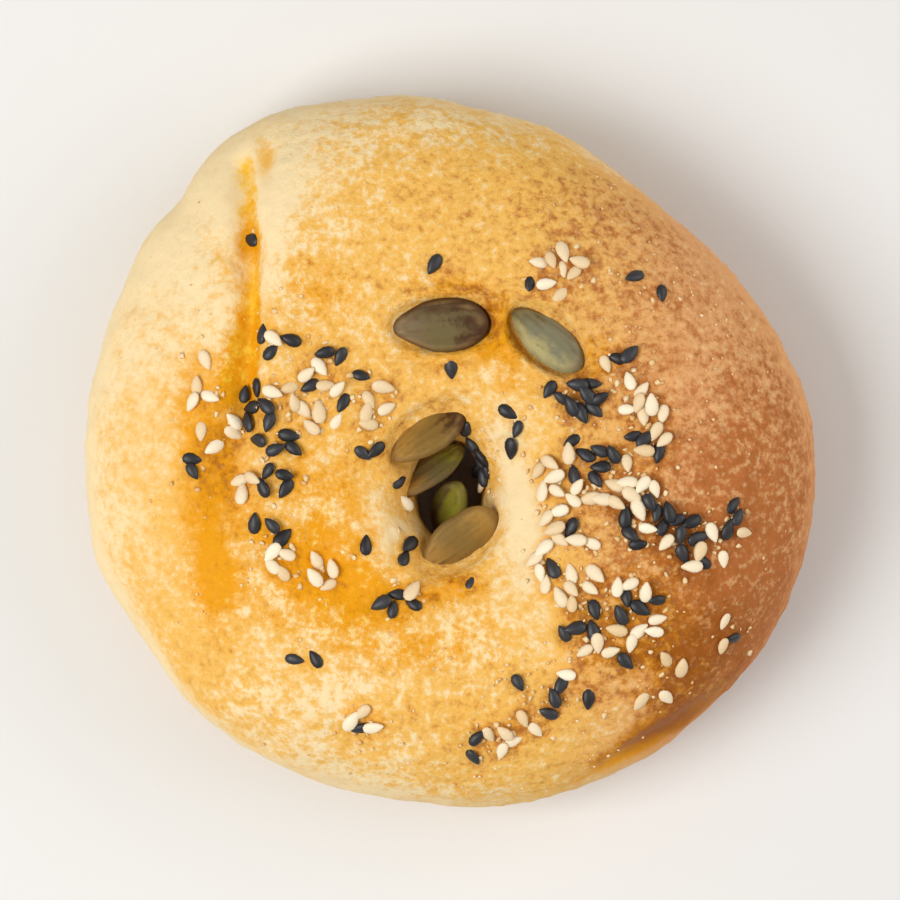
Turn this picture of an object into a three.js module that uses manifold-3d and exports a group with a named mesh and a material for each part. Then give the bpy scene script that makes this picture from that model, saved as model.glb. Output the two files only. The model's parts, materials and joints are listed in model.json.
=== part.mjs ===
// A seeded bagel: a ring of baked dough with a small off-centre hole, sesame seeds stuck to its top, and
// pumpkin seeds pressed into the top and lodged in the mouth of the hole.
// Millimetres, +Z up. The bagel rests on its flat underside at z = 0, with the origin under the middle of
// its outline. Inside the loaf, places in plan are measured from the middle of the hole.
import * as THREE from "three";
import { mergeVertices } from "three/addons/utils/BufferGeometryUtils.js";
import Module from "manifold-3d";

const wasm = await Module();
wasm.setup();

// Driving dimensions of the dough ring. Squareness is the exponent of the section's rounded outline, and
// BASE_CUT says how far up its round underside is cut off flat.
const RIM_RADIUS = 54.4;
const HOLE_OFFSET = 6.5;
const CROWN_HEIGHT = 34;
const RIM_WAIST = 12.5;
const THROAT_WAIST = 15;
const THROAT_HALF_WIDTH = 5;
const THROAT_HALF_LENGTH = 7.5;
const INNER_SQUARENESS = 3.2;
const OUTER_SQUARENESS = 2.25;
const BASE_CUT = 1.25;

// Driving dimensions of the seeds
const SESAME = { length: 3.2, width: 1.85, thickness: 0.95, taper: 0.22, spread: 0.14 };
const SESAME_RISE = 0.15;
const SESAME_SPACING = 1.7;
const SESAME_CROWDING = 0.5;
const THROAT_MARGIN = 0.4;
const FUSED_FROM = 0.98;
const PUMPKIN = { length: 14.2, width: 7.8, thickness: 2.5, taper: 0.16 };
const POCKET_GAP = 0.3;
const MERGE_WITHIN = 1e-4;
const DRAW_SEED = 20117;
const TRIES_EACH = 60;

// Steps of the faceted surfaces. Those of the dough crowd together on the side of the seam and on top.
const AROUND_STEPS = 72;
const SECTION_STEPS = 28;
const CROWDED_SIDE = 145;
const SIDE_CROWDING = 0.5;
const TOP_CROWDING = 0.45;
const PUMPKIN_STEPS = { around: 12, along: 9 };
const SESAME_STEPS = { around: 4, along: 3 };

// Slow rises and falls of the crown round the ring: waves, height, and direction of the first high in degrees
const CROWN_WAVES = [
  { waves: 1, rise: 0.9, at: 40 },
  { waves: 2, rise: 0.5, at: 150 },
];

// Bulges and dents of the outline: direction and half-width in degrees, push outwards
const RIM_SHAPE = [
  { at: 54, wide: 32, push: -6.4 },
  { at: 82, wide: 9, push: -1.0 },
  { at: 119, wide: 13, push: 2.5 },
  { at: 133, wide: 3.5, push: -0.8 },
  { at: 162, wide: 14, push: -0.7 },
  { at: 192, wide: 5, push: 0.5 },
  { at: 206, wide: 8, push: -0.9 },
  { at: 258, wide: 22, push: -1.5 },
  { at: 345, wide: 34, push: 0.9 },
];

// The seam where the rope of dough overlaps itself: a crease along x = line - bow * (y - middle)^2 from the
// rim down to where it opens into a shallow valley. The flap on its outer side rolls down to it gently, and
// the inner side has a steep lip.
const SEAM = { line: -28.7, bow: 0.0033, middle: 30, depth: 3, flapSpread: 3.8, lipSpread: 1.6 };
const SEAM_RUN = { rim: 52, rimFade: 5, opensAt: 20, full: 6, end: -22 };
const SEAM_VALLEY = { depth: 1.8, flapSpread: 7, lipSpread: 6 };
const SEAM_LIP = { rise: 0.7, aside: 4, spread: 3 };

// Rounded dents and lumps of the top: middle, half-widths and height
const SWELLS = [
  { x: -26.9, y: 48.8, wide: 1.8, long: 3.4, rise: -1.5 },
  { x: -10, y: -6, wide: 5.2, long: 7, rise: 1.4 },
  { x: -40, y: 16, wide: 9, long: 22, rise: -1.4 },
  { x: 6, y: 25, wide: 5, long: 4.5, rise: -1.0 },
  { x: 30, y: -6, wide: 12, long: 18, rise: 1.0 },
  { x: -6, y: -30, wide: 16, long: 8, rise: 0.7 },
];

// A crease round the lower left of the hole, and one under the edge of the crust on the lower right side
const INNER_CREASE = { radius: 20.5, at: 215, wide: 26, depth: 1.1, spread: 2.6 };
const EDGE_CREASE = { height: 22, at: 309, wide: 13, depth: 1.6, spread: 2.6 };

// How round the section has to be before the relief of the top begins, and before it is full
const RELIEF_FROM = 0.15;
const RELIEF_FULL = 0.65;

// Where sesame fell: middle, half-widths, turn in degrees, and how many of each colour
const DRIFTS = [
  { x: -28, y: 11.3, long: 5, short: 2, turn: 95, black: 7, pale: 0 },
  { x: -23.8, y: 7, long: 2.2, short: 1.6, turn: 40, black: 4, pale: 0 },
  { x: -37, y: 4, long: 1.8, short: 0.8, turn: 90, black: 2, pale: 0 },
  { x: -27.3, y: 1.3, long: 4.6, short: 1.8, turn: 5, black: 4, pale: 4 },
  { x: -27.3, y: -4.6, long: 3.8, short: 1, turn: 145, black: 3, pale: 0 },
  { x: -19, y: 18, long: 11, short: 3.6, turn: 155, black: 8, pale: 4 },
  { x: -17.5, y: 13, long: 9, short: 4.5, turn: 165, black: 0, pale: 13 },
  { x: -34.5, y: 12, long: 8, short: 2.8, turn: 100, black: 0, pale: 8 },
  { x: -21, y: -11, long: 7, short: 2.4, turn: 165, black: 0, pale: 8 },
  { x: -12.5, y: 5.9, long: 1.8, short: 0.5, turn: 10, black: 2, pale: 0 },
  { x: -6.4, y: -8.6, long: 1.8, short: 0.5, turn: 80, black: 2, pale: 0 },
  { x: -7.2, y: -15.8, long: 3.6, short: 1.2, turn: 12, black: 4, pale: 2 },
  { x: -12.2, y: -7.3, long: 0.5, short: 0.5, turn: 0, black: 1, pale: 0 },
  { x: 3.4, y: -13.6, long: 0.6, short: 0.5, turn: 0, black: 1, pale: 0 },
  { x: 5.4, y: 4.6, long: 2.2, short: 0.7, turn: 120, black: 3, pale: 0 },
  { x: 5.6, y: 0.8, long: 0.5, short: 0.5, turn: 0, black: 0, pale: 1 },
  { x: 9.3, y: 8.2, long: 4.4, short: 1, turn: 100, black: 3, pale: 0 },
  { x: 18.5, y: 14.1, long: 4, short: 3, turn: 150, black: 9, pale: 1 },
  { x: 24.9, y: 19.7, long: 2.2, short: 0.8, turn: 25, black: 2, pale: 1 },
  { x: 28, y: 13.8, long: 6, short: 2.4, turn: 160, black: 0, pale: 7 },
  { x: 20.5, y: 4.8, long: 5, short: 3.4, turn: 160, black: 7, pale: 0 },
  { x: 19.5, y: 3, long: 7.5, short: 4.5, turn: 0, black: 0, pale: 13 },
  { x: 28.8, y: 7.5, long: 3.6, short: 2, turn: 150, black: 3, pale: 3 },
  { x: 33, y: -6.6, long: 8, short: 3.4, turn: 160, black: 12, pale: 7 },
  { x: 17, y: -9.5, long: 7, short: 4.5, turn: 100, black: 2, pale: 16 },
  { x: 26, y: -0.5, long: 5, short: 2.4, turn: 0, black: 1, pale: 6 },
  { x: 42, y: -4, long: 3, short: 1.8, turn: 60, black: 3, pale: 1 },
  { x: 23.6, y: -18, long: 8, short: 1.8, turn: 22, black: 8, pale: 0 },
  { x: 25, y: -18.5, long: 8, short: 4.5, turn: 30, black: 0, pale: 11 },
  { x: 25.2, y: -24.2, long: 2.4, short: 0.8, turn: 150, black: 2, pale: 1 },
  { x: 41, y: -21, long: 3, short: 2.4, turn: 100, black: 1, pale: 2 },
  { x: 32, y: -27, long: 6, short: 3, turn: 40, black: 0, pale: 4 },
  { x: 16, y: -29.4, long: 4, short: 1, turn: 58, black: 3, pale: 1 },
  { x: 15.2, y: -29.5, long: 11.5, short: 1, turn: 165, black: 2, pale: 0 },
  { x: 9.5, y: -35, long: 4, short: 2.6, turn: 30, black: 0, pale: 6 },
  { x: 3.5, y: -37.7, long: 2.2, short: 0.6, turn: 75, black: 2, pale: 0 },
  { x: -21.6, y: -24.4, long: 3.6, short: 0.8, turn: 15, black: 2, pale: 0 },
  { x: -12.6, y: -33.6, long: 2.2, short: 1.6, turn: 120, black: 1, pale: 3 },
  { x: -0.9, y: 26, long: 8, short: 0.6, turn: 98, black: 2, pale: 0 },
  { x: 15.5, y: 31, long: 5.5, short: 3.6, turn: 60, black: 1, pale: 8 },
  { x: 29, y: 31.3, long: 5.6, short: 0.8, turn: 145, black: 2, pale: 0 },
  { x: -29.2, y: 37, long: 0.5, short: 0.4, turn: 90, black: 1, pale: 0 },
];

// Pumpkin seeds: middle, heading of the tip in plan, how far the tip dips and the seed rolls, in degrees.
// The first two are pressed into the top, two lean on the upper wall of the hole, one stands in it, and one
// bridges its lower end.
const PUMPKIN_SEEDS = [
  { x: -1.2, y: 24.5, z: 33.2, heading: 183, dip: 4, roll: -6, size: 1 },
  { x: 14.4, y: 22.5, z: 34.2, heading: 139, dip: 2, roll: 30, size: 0.92 },
  { x: -3.1, y: 8.8, z: 29.3, heading: 218, dip: -8, roll: 28, size: 0.92 },
  { x: -2.8, y: 3, z: 24.2, heading: 218, dip: -6, roll: 55, size: 0.88 },
  { x: 0.2, y: -2.6, z: 20.4, heading: 62, dip: -55, roll: -40, size: 1 },
  { x: 1.5, y: -7.1, z: 28.2, heading: 217, dip: 8, roll: -16, size: 0.97 },
];

const CRUST_LOOK = { color: 0xd9a45c, roughness: 0.72, metalness: 0 };
const PUMPKIN_LOOK = { color: 0x6b6a45, roughness: 0.5, metalness: 0 };

const { clamp, degToRad, euclideanModulo, lerp, radToDeg, smoothstep } = THREE.MathUtils;

function bell(distance, spread) {
  return Math.exp(-((distance / spread) ** 2));
}

function degreesBetween(angle, degrees) {
  return euclideanModulo(radToDeg(angle) - degrees + 180, 360) - 180;
}

// Repeatable draws between 0 and 1
function drawsFrom(seed) {
  const modulus = 2147483647;
  const multiplier = 16807;
  let state = seed;
  return () => {
    state = (state * multiplier) % modulus;
    return state / modulus;
  };
}

// Distance from the hole's middle to the outline
function rimRadius(angle) {
  let radius = RIM_RADIUS + HOLE_OFFSET * Math.sin(angle);
  for (const part of RIM_SHAPE) {
    radius += part.push * bell(degreesBetween(angle, part.at), part.wide);
  }
  return radius;
}

// Distance from the hole's middle to the throat, which is an upright oval
function throatRadius(angle) {
  return 1 / Math.hypot(Math.cos(angle) / THROAT_HALF_WIDTH, Math.sin(angle) / THROAT_HALF_LENGTH);
}

function crownHeight(angle) {
  let height = CROWN_HEIGHT;
  for (const wave of CROWN_WAVES) {
    height += wave.rise * Math.cos(wave.waves * (angle - degToRad(wave.at)));
  }
  return height;
}

function seamRelief(x, y) {
  const aside = x - (SEAM.line - SEAM.bow * (y - SEAM.middle) ** 2);
  const opened = 1 - smoothstep(y, SEAM_RUN.end, SEAM_RUN.opensAt);
  const fadeIn = smoothstep(y, SEAM_RUN.end, SEAM_RUN.full);
  const strength = fadeIn * (1 - smoothstep(y, SEAM_RUN.rim - SEAM_RUN.rimFade, SEAM_RUN.rim));
  const side = aside < 0 ? "flapSpread" : "lipSpread";
  const spread = lerp(SEAM[side], SEAM_VALLEY[side], opened);
  const groove = lerp(SEAM.depth, SEAM_VALLEY.depth, opened) * bell(aside, spread);
  const lip = SEAM_LIP.rise * (1 - opened) * bell(aside - SEAM_LIP.aside, SEAM_LIP.spread);
  return strength * (lip - groove);
}

function innerCreaseRelief(x, y) {
  const around = bell(degreesBetween(Math.atan2(y, x), INNER_CREASE.at), INNER_CREASE.wide);
  return -INNER_CREASE.depth * around * bell(Math.hypot(x, y) - INNER_CREASE.radius, INNER_CREASE.spread);
}

// Height that the seam, the crease and the swells add to the top at a place in plan
function relief(x, y) {
  let rise = seamRelief(x, y) + innerCreaseRelief(x, y);
  for (const swell of SWELLS) {
    rise += swell.rise * bell(Math.hypot((x - swell.x) / swell.wide, (y - swell.y) / swell.long), 1);
  }
  return rise;
}

// How full the section is at a place across the ring, from -1 at the throat to 1 at the rim
function fullness(across) {
  const squareness = across < 0 ? INNER_SQUARENESS : OUTER_SQUARENESS;
  return (1 - Math.abs(across) ** squareness) ** (1 / squareness);
}

// Height of the top at a place in plan
function topHeight(x, y) {
  const angle = Math.atan2(y, x);
  const throat = throatRadius(angle);
  const share = clamp((Math.hypot(x, y) - throat) / (rimRadius(angle) - throat), 0, 1);
  const full = fullness(2 * share - 1);
  const height = lerp(lerp(THROAT_WAIST, RIM_WAIST, share), crownHeight(angle), full);
  return height + relief(x, y) * smoothstep(full, RELIEF_FROM, RELIEF_FULL);
}

// Outward direction of the top at a place in plan
function topNormal(x, y) {
  const step = SESAME.width / 3;
  const slopeX = (topHeight(x + step, y) - topHeight(x - step, y)) / (2 * step);
  const slopeY = (topHeight(x, y + step) - topHeight(x, y - step)) / (2 * step);
  return new THREE.Vector3(-slopeX, -slopeY, 1).normalize();
}

// A point of the crust, on top or underneath, at a place across the ring
function crustPoint(angle, across, onTop) {
  const share = (1 + across) / 2;
  let radius = lerp(throatRadius(angle), rimRadius(angle), share);
  let height = lerp(THROAT_WAIST, RIM_WAIST, share) * (1 - Math.min(1, BASE_CUT * fullness(across)));
  if (onTop) {
    height = topHeight(radius * Math.cos(angle), radius * Math.sin(angle));
    const around = bell(degreesBetween(angle, EDGE_CREASE.at), EDGE_CREASE.wide) * Math.max(0, across);
    radius -= EDGE_CREASE.depth * around * bell(height - EDGE_CREASE.height, EDGE_CREASE.spread);
  }
  return new THREE.Vector3(radius * Math.cos(angle), radius * Math.sin(angle), height);
}

function solidFrom(geometry) {
  const bare = geometry.clone();
  bare.deleteAttribute("normal");
  bare.deleteAttribute("uv");
  const merged = mergeVertices(bare, MERGE_WITHIN);
  const vertProperties = new Float32Array(merged.getAttribute("position").array);
  const triVerts = new Uint32Array(merged.index.array);
  return new wasm.Manifold(new wasm.Mesh({ numProp: 3, vertProperties, triVerts }));
}

function geometryFrom(solid) {
  const mesh = solid.getMesh();
  const geometry = new THREE.BufferGeometry();
  geometry.setAttribute("position", new THREE.BufferAttribute(mesh.vertProperties, mesh.numProp));
  geometry.setIndex(new THREE.BufferAttribute(mesh.triVerts, 1));
  geometry.computeVertexNormals();
  return geometry;
}

// The largest body of a solid, without loose scraps
function mainBody(solid) {
  return solid.decompose().reduce((best, body) => (body.volume() > best.volume() ? body : best));
}

// A flat almond, its tip towards +X
function almond(size, steps) {
  const geometry = new THREE.SphereGeometry(0.5, steps.around, steps.along);
  geometry.rotateZ(-Math.PI / 2);
  const place = geometry.getAttribute("position");
  for (let i = 0; i < place.count; i += 1) {
    const width = size.width * (1 - 2 * size.taper * place.getX(i));
    place.setXYZ(i, place.getX(i) * size.length, place.getY(i) * width, place.getZ(i) * size.thickness);
  }
  return geometry;
}

function doughRing() {
  const geometry = new THREE.TorusGeometry(2, 1, SECTION_STEPS, AROUND_STEPS);
  const place = geometry.getAttribute("position");
  for (let i = 0; i < place.count; i += 1) {
    const evenAngle = Math.atan2(place.getY(i), place.getX(i));
    const evenTurn = Math.atan2(place.getZ(i), Math.hypot(place.getX(i), place.getY(i)) - 2);
    const angle = evenAngle - SIDE_CROWDING * Math.sin(evenAngle - degToRad(CROWDED_SIDE));
    const turn = evenTurn + TOP_CROWDING * Math.cos(evenTurn);
    const point = crustPoint(angle, clamp(Math.cos(turn), -1, 1), Math.sin(turn) > 0);
    place.setXYZ(i, point.x, point.y, point.z);
  }
  return solidFrom(geometry);
}

function pumpkinSeedMeshes() {
  return PUMPKIN_SEEDS.map((seed, i) => {
    const mesh = new THREE.Mesh(almond(PUMPKIN, PUMPKIN_STEPS), new THREE.MeshStandardMaterial(PUMPKIN_LOOK));
    mesh.name = `pumpkin_seed_${i + 1}`;
    mesh.scale.setScalar(seed.size);
    mesh.position.set(seed.x, seed.y, seed.z);
    mesh.rotation.set(degToRad(seed.roll), degToRad(seed.dip), degToRad(seed.heading), "ZYX");
    mesh.updateMatrix();
    return mesh;
  });
}

// The space that a pumpkin seed presses into the dough
function pocket(mesh) {
  const size = {
    length: PUMPKIN.length + 2 * POCKET_GAP,
    width: PUMPKIN.width + 2 * POCKET_GAP,
    thickness: PUMPKIN.thickness + 2 * POCKET_GAP,
    taper: PUMPKIN.taper,
  };
  return solidFrom(almond(size, PUMPKIN_STEPS).applyMatrix4(mesh.matrix));
}

function clearOfPumpkinSeeds(x, y) {
  const reach = SESAME.length / 2 + POCKET_GAP;
  return PUMPKIN_SEEDS.every((seed) => {
    const turn = degToRad(seed.heading);
    const along = (x - seed.x) * Math.cos(turn) + (y - seed.y) * Math.sin(turn);
    const aside = (y - seed.y) * Math.cos(turn) - (x - seed.x) * Math.sin(turn);
    const halfLength = (seed.size * PUMPKIN.length * Math.cos(degToRad(seed.dip))) / 2;
    const halfWidth = (seed.size * PUMPKIN.width) / 2;
    return Math.hypot(along / (halfLength + reach), aside / (halfWidth + reach)) > 1;
  });
}

// Every sesame seed of the drifts: its place, heading, size and colour
function sesameSeeds() {
  const draw = drawsFrom(DRAW_SEED);
  const seeds = [];
  const isFree = (x, y) =>
    Math.hypot(x, y) > throatRadius(Math.atan2(y, x)) + THROAT_MARGIN &&
    clearOfPumpkinSeeds(x, y) &&
    seeds.every((other) => Math.hypot(other.x - x, other.y - y) > SESAME_SPACING);
  for (const drift of DRIFTS) {
    const total = drift.black + drift.pale;
    const turn = degToRad(drift.turn);
    let placed = 0;
    for (let tries = 0; placed < total && tries < TRIES_EACH * total; tries += 1) {
      const reach = draw() ** SESAME_CROWDING;
      const way = 2 * Math.PI * draw();
      const heading = 2 * Math.PI * draw();
      const size = 1 + SESAME.spread * (2 * draw() - 1);
      const along = reach * drift.long * Math.cos(way);
      const aside = reach * drift.short * Math.sin(way);
      const x = drift.x + along * Math.cos(turn) - aside * Math.sin(turn);
      const y = drift.y + along * Math.sin(turn) + aside * Math.cos(turn);
      if (isFree(x, y)) {
        seeds.push({ x, y, heading, size, black: placed < drift.black });
        placed += 1;
      }
    }
  }
  return seeds;
}

function sesameSolid(seed) {
  const normal = topNormal(seed.x, seed.y);
  const along = new THREE.Vector3(Math.cos(seed.heading), Math.sin(seed.heading), 0);
  along.addScaledVector(normal, -along.dot(normal)).normalize();
  const place = new THREE.Vector3(seed.x, seed.y, topHeight(seed.x, seed.y));
  place.addScaledVector(normal, SESAME_RISE);
  const turned = new THREE.Matrix4().makeBasis(along, normal.clone().cross(along), normal);
  turned.scale(new THREE.Vector3().setScalar(seed.size)).setPosition(place);
  return solidFrom(almond(SESAME, SESAME_STEPS).applyMatrix4(turned));
}

function bagel() {
  const loaf = new THREE.Group();
  const pumpkinSeeds = pumpkinSeedMeshes();
  const largeSesame = sesameSeeds().filter((seed) => seed.size > FUSED_FROM);
  const seeded = wasm.Manifold.union([doughRing(), ...largeSesame.map(sesameSolid)]);
  const pressed = mainBody(seeded.subtract(wasm.Manifold.union(pumpkinSeeds.map(pocket))));
  const crust = new THREE.Mesh(geometryFrom(pressed), new THREE.MeshStandardMaterial(CRUST_LOOK));
  crust.name = "bagel";
  loaf.add(crust, ...pumpkinSeeds);
  const box = new THREE.Box3().setFromObject(crust);
  loaf.position.set(-(box.min.x + box.max.x) / 2, -(box.min.y + box.max.y) / 2, -box.min.z);
  const whole = new THREE.Group();
  whole.add(loaf);
  return whole;
}

export default bagel();
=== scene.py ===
"""A seeded bagel: crust, sesame, pumpkin seeds and semolina grains, over the part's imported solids."""

import json
import math
from collections import namedtuple

import bmesh
import bpy
import numpy as np
from bpy.props import FloatProperty, FloatVectorProperty, IntProperty, PointerProperty
from bpy.types import Operator, Panel, PropertyGroup
from mathutils import Euler, Matrix, Vector, noise


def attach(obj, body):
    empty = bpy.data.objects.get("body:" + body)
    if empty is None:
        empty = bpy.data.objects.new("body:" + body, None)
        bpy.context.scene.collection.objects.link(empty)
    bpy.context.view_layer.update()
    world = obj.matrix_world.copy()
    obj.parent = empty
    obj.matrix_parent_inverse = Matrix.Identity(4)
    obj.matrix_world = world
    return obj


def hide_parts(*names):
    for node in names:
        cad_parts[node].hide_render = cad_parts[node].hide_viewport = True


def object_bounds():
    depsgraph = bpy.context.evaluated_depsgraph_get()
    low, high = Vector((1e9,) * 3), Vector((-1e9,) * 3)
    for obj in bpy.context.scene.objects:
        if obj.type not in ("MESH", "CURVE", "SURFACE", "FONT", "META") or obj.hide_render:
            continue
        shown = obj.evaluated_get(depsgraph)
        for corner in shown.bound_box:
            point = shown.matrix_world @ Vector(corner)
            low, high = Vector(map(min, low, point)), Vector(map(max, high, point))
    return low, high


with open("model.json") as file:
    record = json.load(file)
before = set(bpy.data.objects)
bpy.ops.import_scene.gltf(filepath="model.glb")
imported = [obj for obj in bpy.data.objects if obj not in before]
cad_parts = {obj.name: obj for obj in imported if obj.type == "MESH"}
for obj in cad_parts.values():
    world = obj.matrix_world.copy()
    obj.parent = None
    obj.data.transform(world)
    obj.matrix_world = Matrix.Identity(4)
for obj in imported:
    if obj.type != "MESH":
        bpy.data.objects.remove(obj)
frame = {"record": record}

bl_info = {
    "name": "Seeded bagel",
    "version": (1, 0, 0),
    "blender": (4, 5, 0),
    "location": "View3D > Sidebar > Bagel",
    "description": "Makes a baked bagel with sesame and pumpkin seeds, and a plain stage for it",
    "category": "Add Mesh",
}

CAD_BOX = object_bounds()
BODY = "root"
MM = 0.001

# The record's opening stands in the hole, so its middle is the hole's middle in plan
HOLE_BOX = frame["record"]["physics"]["openings"][0]["box_m"]
HOLE = Vector(((HOLE_BOX[0][0] + HOLE_BOX[1][0]) / 2, (HOLE_BOX[0][1] + HOLE_BOX[1][1]) / 2, 0))

# Shapes below are in millimetres and degrees, and places in plan are measured from the hole's middle
Wave = namedtuple("Wave", "waves rise at")
Bulge = namedtuple("Bulge", "at wide push")
Swell = namedtuple("Swell", "x y wide long rise")
Patch = namedtuple("Patch", "x y wide long turn amount")
Drift = namedtuple("Drift", "x y long short turn black pale")
Seed = namedtuple("Seed", "x y heading size is_black near prop")
Kernel = namedtuple("Kernel", "x y z heading dip roll size press")
Skin = namedtuple("Skin", "tip middle blunt flank side")
Tone = namedtuple("Tone", "level slope right")
Mark = namedtuple("Mark", "size detail roughness tone grainy_tone amber relief grainy_relief")
Speckle = namedtuple("Speckle", "size share roughness uneven relief")
Border = namedtuple("Border", "low high share cloud fleck streak")

# Slow rises and falls of the crown round the ring
CROWN_WAVES = (Wave(1, 0.9, 40), Wave(2, 0.5, 150))

# Bulges and dents of the outline
RIM_SHAPE = (
    Bulge(54, 32, -6.4),
    Bulge(82, 9, -1.0),
    Bulge(119, 13, 2.5),
    Bulge(133, 3.5, -0.8),
    Bulge(162, 14, -0.7),
    Bulge(192, 5, 0.5),
    Bulge(206, 8, -0.9),
    Bulge(258, 22, -1.5),
    Bulge(345, 34, 0.9),
)

# The section's rounded outline, and how far up its round underside is cut off flat
INNER_SQUARENESS = 3.2
OUTER_SQUARENESS = 2.25
BASE_CUT = 1.25

# The seam: a crease along x = line - bow * (y - middle)^2 that opens into a valley at its lower end
SEAM_LINE = -28.7
SEAM_BOW = 0.0033
SEAM_MIDDLE = 30
SEAM_RIM = 52
SEAM_RIM_FADE = 5
SEAM_OPENS = 20
SEAM_FULL = 6
SEAM_END = -22
SEAM_DEPTH = 3.0
VALLEY_DEPTH = 1.8
SEAM_FLAP = 3.0
VALLEY_FLAP = 7.0
SEAM_LIP = 1.2
VALLEY_LIP = 6.0
LIP_RISE = 0.7
LIP_ASIDE = 4.0
LIP_SPREAD = 3.0

# Rounded dents and lumps of the top
SWELLS = (
    Swell(-26.9, 48.8, 1.8, 3.4, -1.5),
    Swell(-10, -6, 5.2, 7, 1.4),
    Swell(-40, 16, 9, 22, -1.4),
    Swell(6, 25, 5, 4.5, -1.0),
    Swell(30, -6, 12, 18, 1.0),
    Swell(-6, -30, 16, 8, 0.7),
)

# A crease round the lower left of the hole, and one under the edge of the crust on the lower right side
INNER_CREASE_RADIUS = 20.5
INNER_CREASE = Bulge(215, 26, -1.1)
INNER_CREASE_SPREAD = 2.6
EDGE_CREASE_HEIGHT = 22
EDGE_CREASE = Bulge(309, 13, -1.6)
EDGE_CREASE_SPREAD = 2.6

# How full the section is where the relief of the top begins, and where it is whole
RELIEF_FROM = 0.15
RELIEF_FULL = 0.65

# Where sesame fell, and how many seeds of each colour
DRIFTS = (
    Drift(-28, 11.3, 5, 2, 95, 7, 0),
    Drift(-23.8, 7, 2.2, 1.6, 40, 4, 0),
    Drift(-37, 4, 1.8, 0.8, 90, 2, 0),
    Drift(-27.3, 1.3, 4.6, 1.8, 5, 4, 4),
    Drift(-27.3, -4.6, 3.8, 1, 145, 3, 0),
    Drift(-19, 18, 11, 3.6, 155, 8, 4),
    Drift(-17.5, 13, 9, 4.5, 165, 0, 13),
    Drift(-34.5, 12, 8, 2.8, 100, 0, 8),
    Drift(-21, -11, 7, 2.4, 165, 0, 8),
    Drift(-12.5, 5.9, 1.8, 0.5, 10, 2, 0),
    Drift(-6.4, -8.6, 1.8, 0.5, 80, 2, 0),
    Drift(-7.2, -15.8, 3.6, 1.2, 12, 4, 2),
    Drift(-12.2, -7.3, 0.5, 0.5, 0, 1, 0),
    Drift(3.4, -13.6, 0.6, 0.5, 0, 1, 0),
    Drift(5.4, 4.6, 2.2, 0.7, 120, 3, 0),
    Drift(5.6, 0.8, 0.5, 0.5, 0, 0, 1),
    Drift(9.3, 8.2, 4.4, 1, 100, 3, 0),
    Drift(18.5, 14.1, 4, 3, 150, 9, 1),
    Drift(24.9, 19.7, 2.2, 0.8, 25, 2, 1),
    Drift(28, 13.8, 6, 2.4, 160, 0, 7),
    Drift(20.5, 4.8, 5, 3.4, 160, 7, 0),
    Drift(19.5, 3, 7.5, 4.5, 0, 0, 13),
    Drift(28.8, 7.5, 3.6, 2, 150, 3, 3),
    Drift(33, -6.6, 8, 3.4, 160, 12, 7),
    Drift(17, -9.5, 7, 4.5, 100, 2, 16),
    Drift(26, -0.5, 5, 2.4, 0, 1, 6),
    Drift(42, -4, 3, 1.8, 60, 3, 1),
    Drift(23.6, -18, 8, 1.8, 22, 8, 0),
    Drift(25, -18.5, 8, 4.5, 30, 0, 11),
    Drift(25.2, -24.2, 2.4, 0.8, 150, 2, 1),
    Drift(41, -21, 3, 2.4, 100, 1, 2),
    Drift(32, -27, 6, 3, 40, 0, 4),
    Drift(16, -29.4, 4, 1, 58, 3, 1),
    Drift(15.2, -29.5, 11.5, 1, 165, 2, 0),
    Drift(9.5, -35, 4, 2.6, 30, 0, 6),
    Drift(3.5, -37.7, 2.2, 0.6, 75, 2, 0),
    Drift(-21.6, -24.4, 3.6, 0.8, 15, 2, 0),
    Drift(-12.6, -33.6, 2.2, 1.6, 120, 1, 3),
    Drift(-0.9, 26, 8, 0.6, 98, 2, 0),
    Drift(15.5, 31, 5.5, 3.6, 60, 1, 8),
    Drift(29, 31.3, 5.6, 0.8, 145, 2, 0),
    Drift(-29.2, 37, 0.5, 0.4, 90, 1, 0),
)

# How the sesame is drawn: tries for each seed, crowding towards a drift's middle, spread of the sizes,
# distances to keep clear, and how far a seed's middle stands above the crust
DRAW_SEED = 20117
TRIES_EACH = 60
SESAME_CROWDING = 0.5
SESAME_SPREAD = 0.14
SESAME_SPACING = 1.7
THROAT_MARGIN = 0.4
POCKET_GAP = 0.3
SESAME_RISE = 0.15

# Small seeds caught in the mouth of the hole, propped up from its wall
CAUGHT_SEEDS = (
    Seed(2.7, 9.6, 1.2, 0.92, True, 1, 0.5),
    Seed(3.6, 7.2, 2.2, 0.94, True, 1, 1.2),
    Seed(4.9, 5.0, 2.0, 0.95, True, 1, 1.5),
    Seed(4.5, 3.4, 1.1, 0.9, True, 1, 1.8),
    Seed(5.4, 2.2, 1.8, 0.95, True, 1, 1.4),
    Seed(-6.6, -1.6, 2.5, 0.95, False, 1, 0.8),
    Seed(-7.6, 1.6, 0.4, 0.9, True, 1, 0.5),
)

# Seeds that lie this near earlier ones are piled up on them a little
PILED_WITHIN = 2.7
PILE_RISE = 0.35
PILE_MOST = 2

# Pumpkin seeds: place, heading of the tip, dip and roll, size, and how deep the seed's pocket is pressed
KERNELS = (
    Kernel(-1.2, 24.5, 33.2, 183, 4, -6, 1, 1.6),
    Kernel(14.4, 22.5, 34.2, 139, 2, 30, 0.92, 1.2),
    Kernel(-3.1, 8.8, 29.3, 218, -8, 28, 0.92, 0.8),
    Kernel(-2.8, 3, 24.2, 218, -6, 55, 0.88, 0.0),
    Kernel(0.2, -2.6, 20.4, 62, -55, -40, 1, 0.0),
    Kernel(1.5, -7.1, 28.2, 217, 8, -16, 0.97, 0.8),
)

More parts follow.
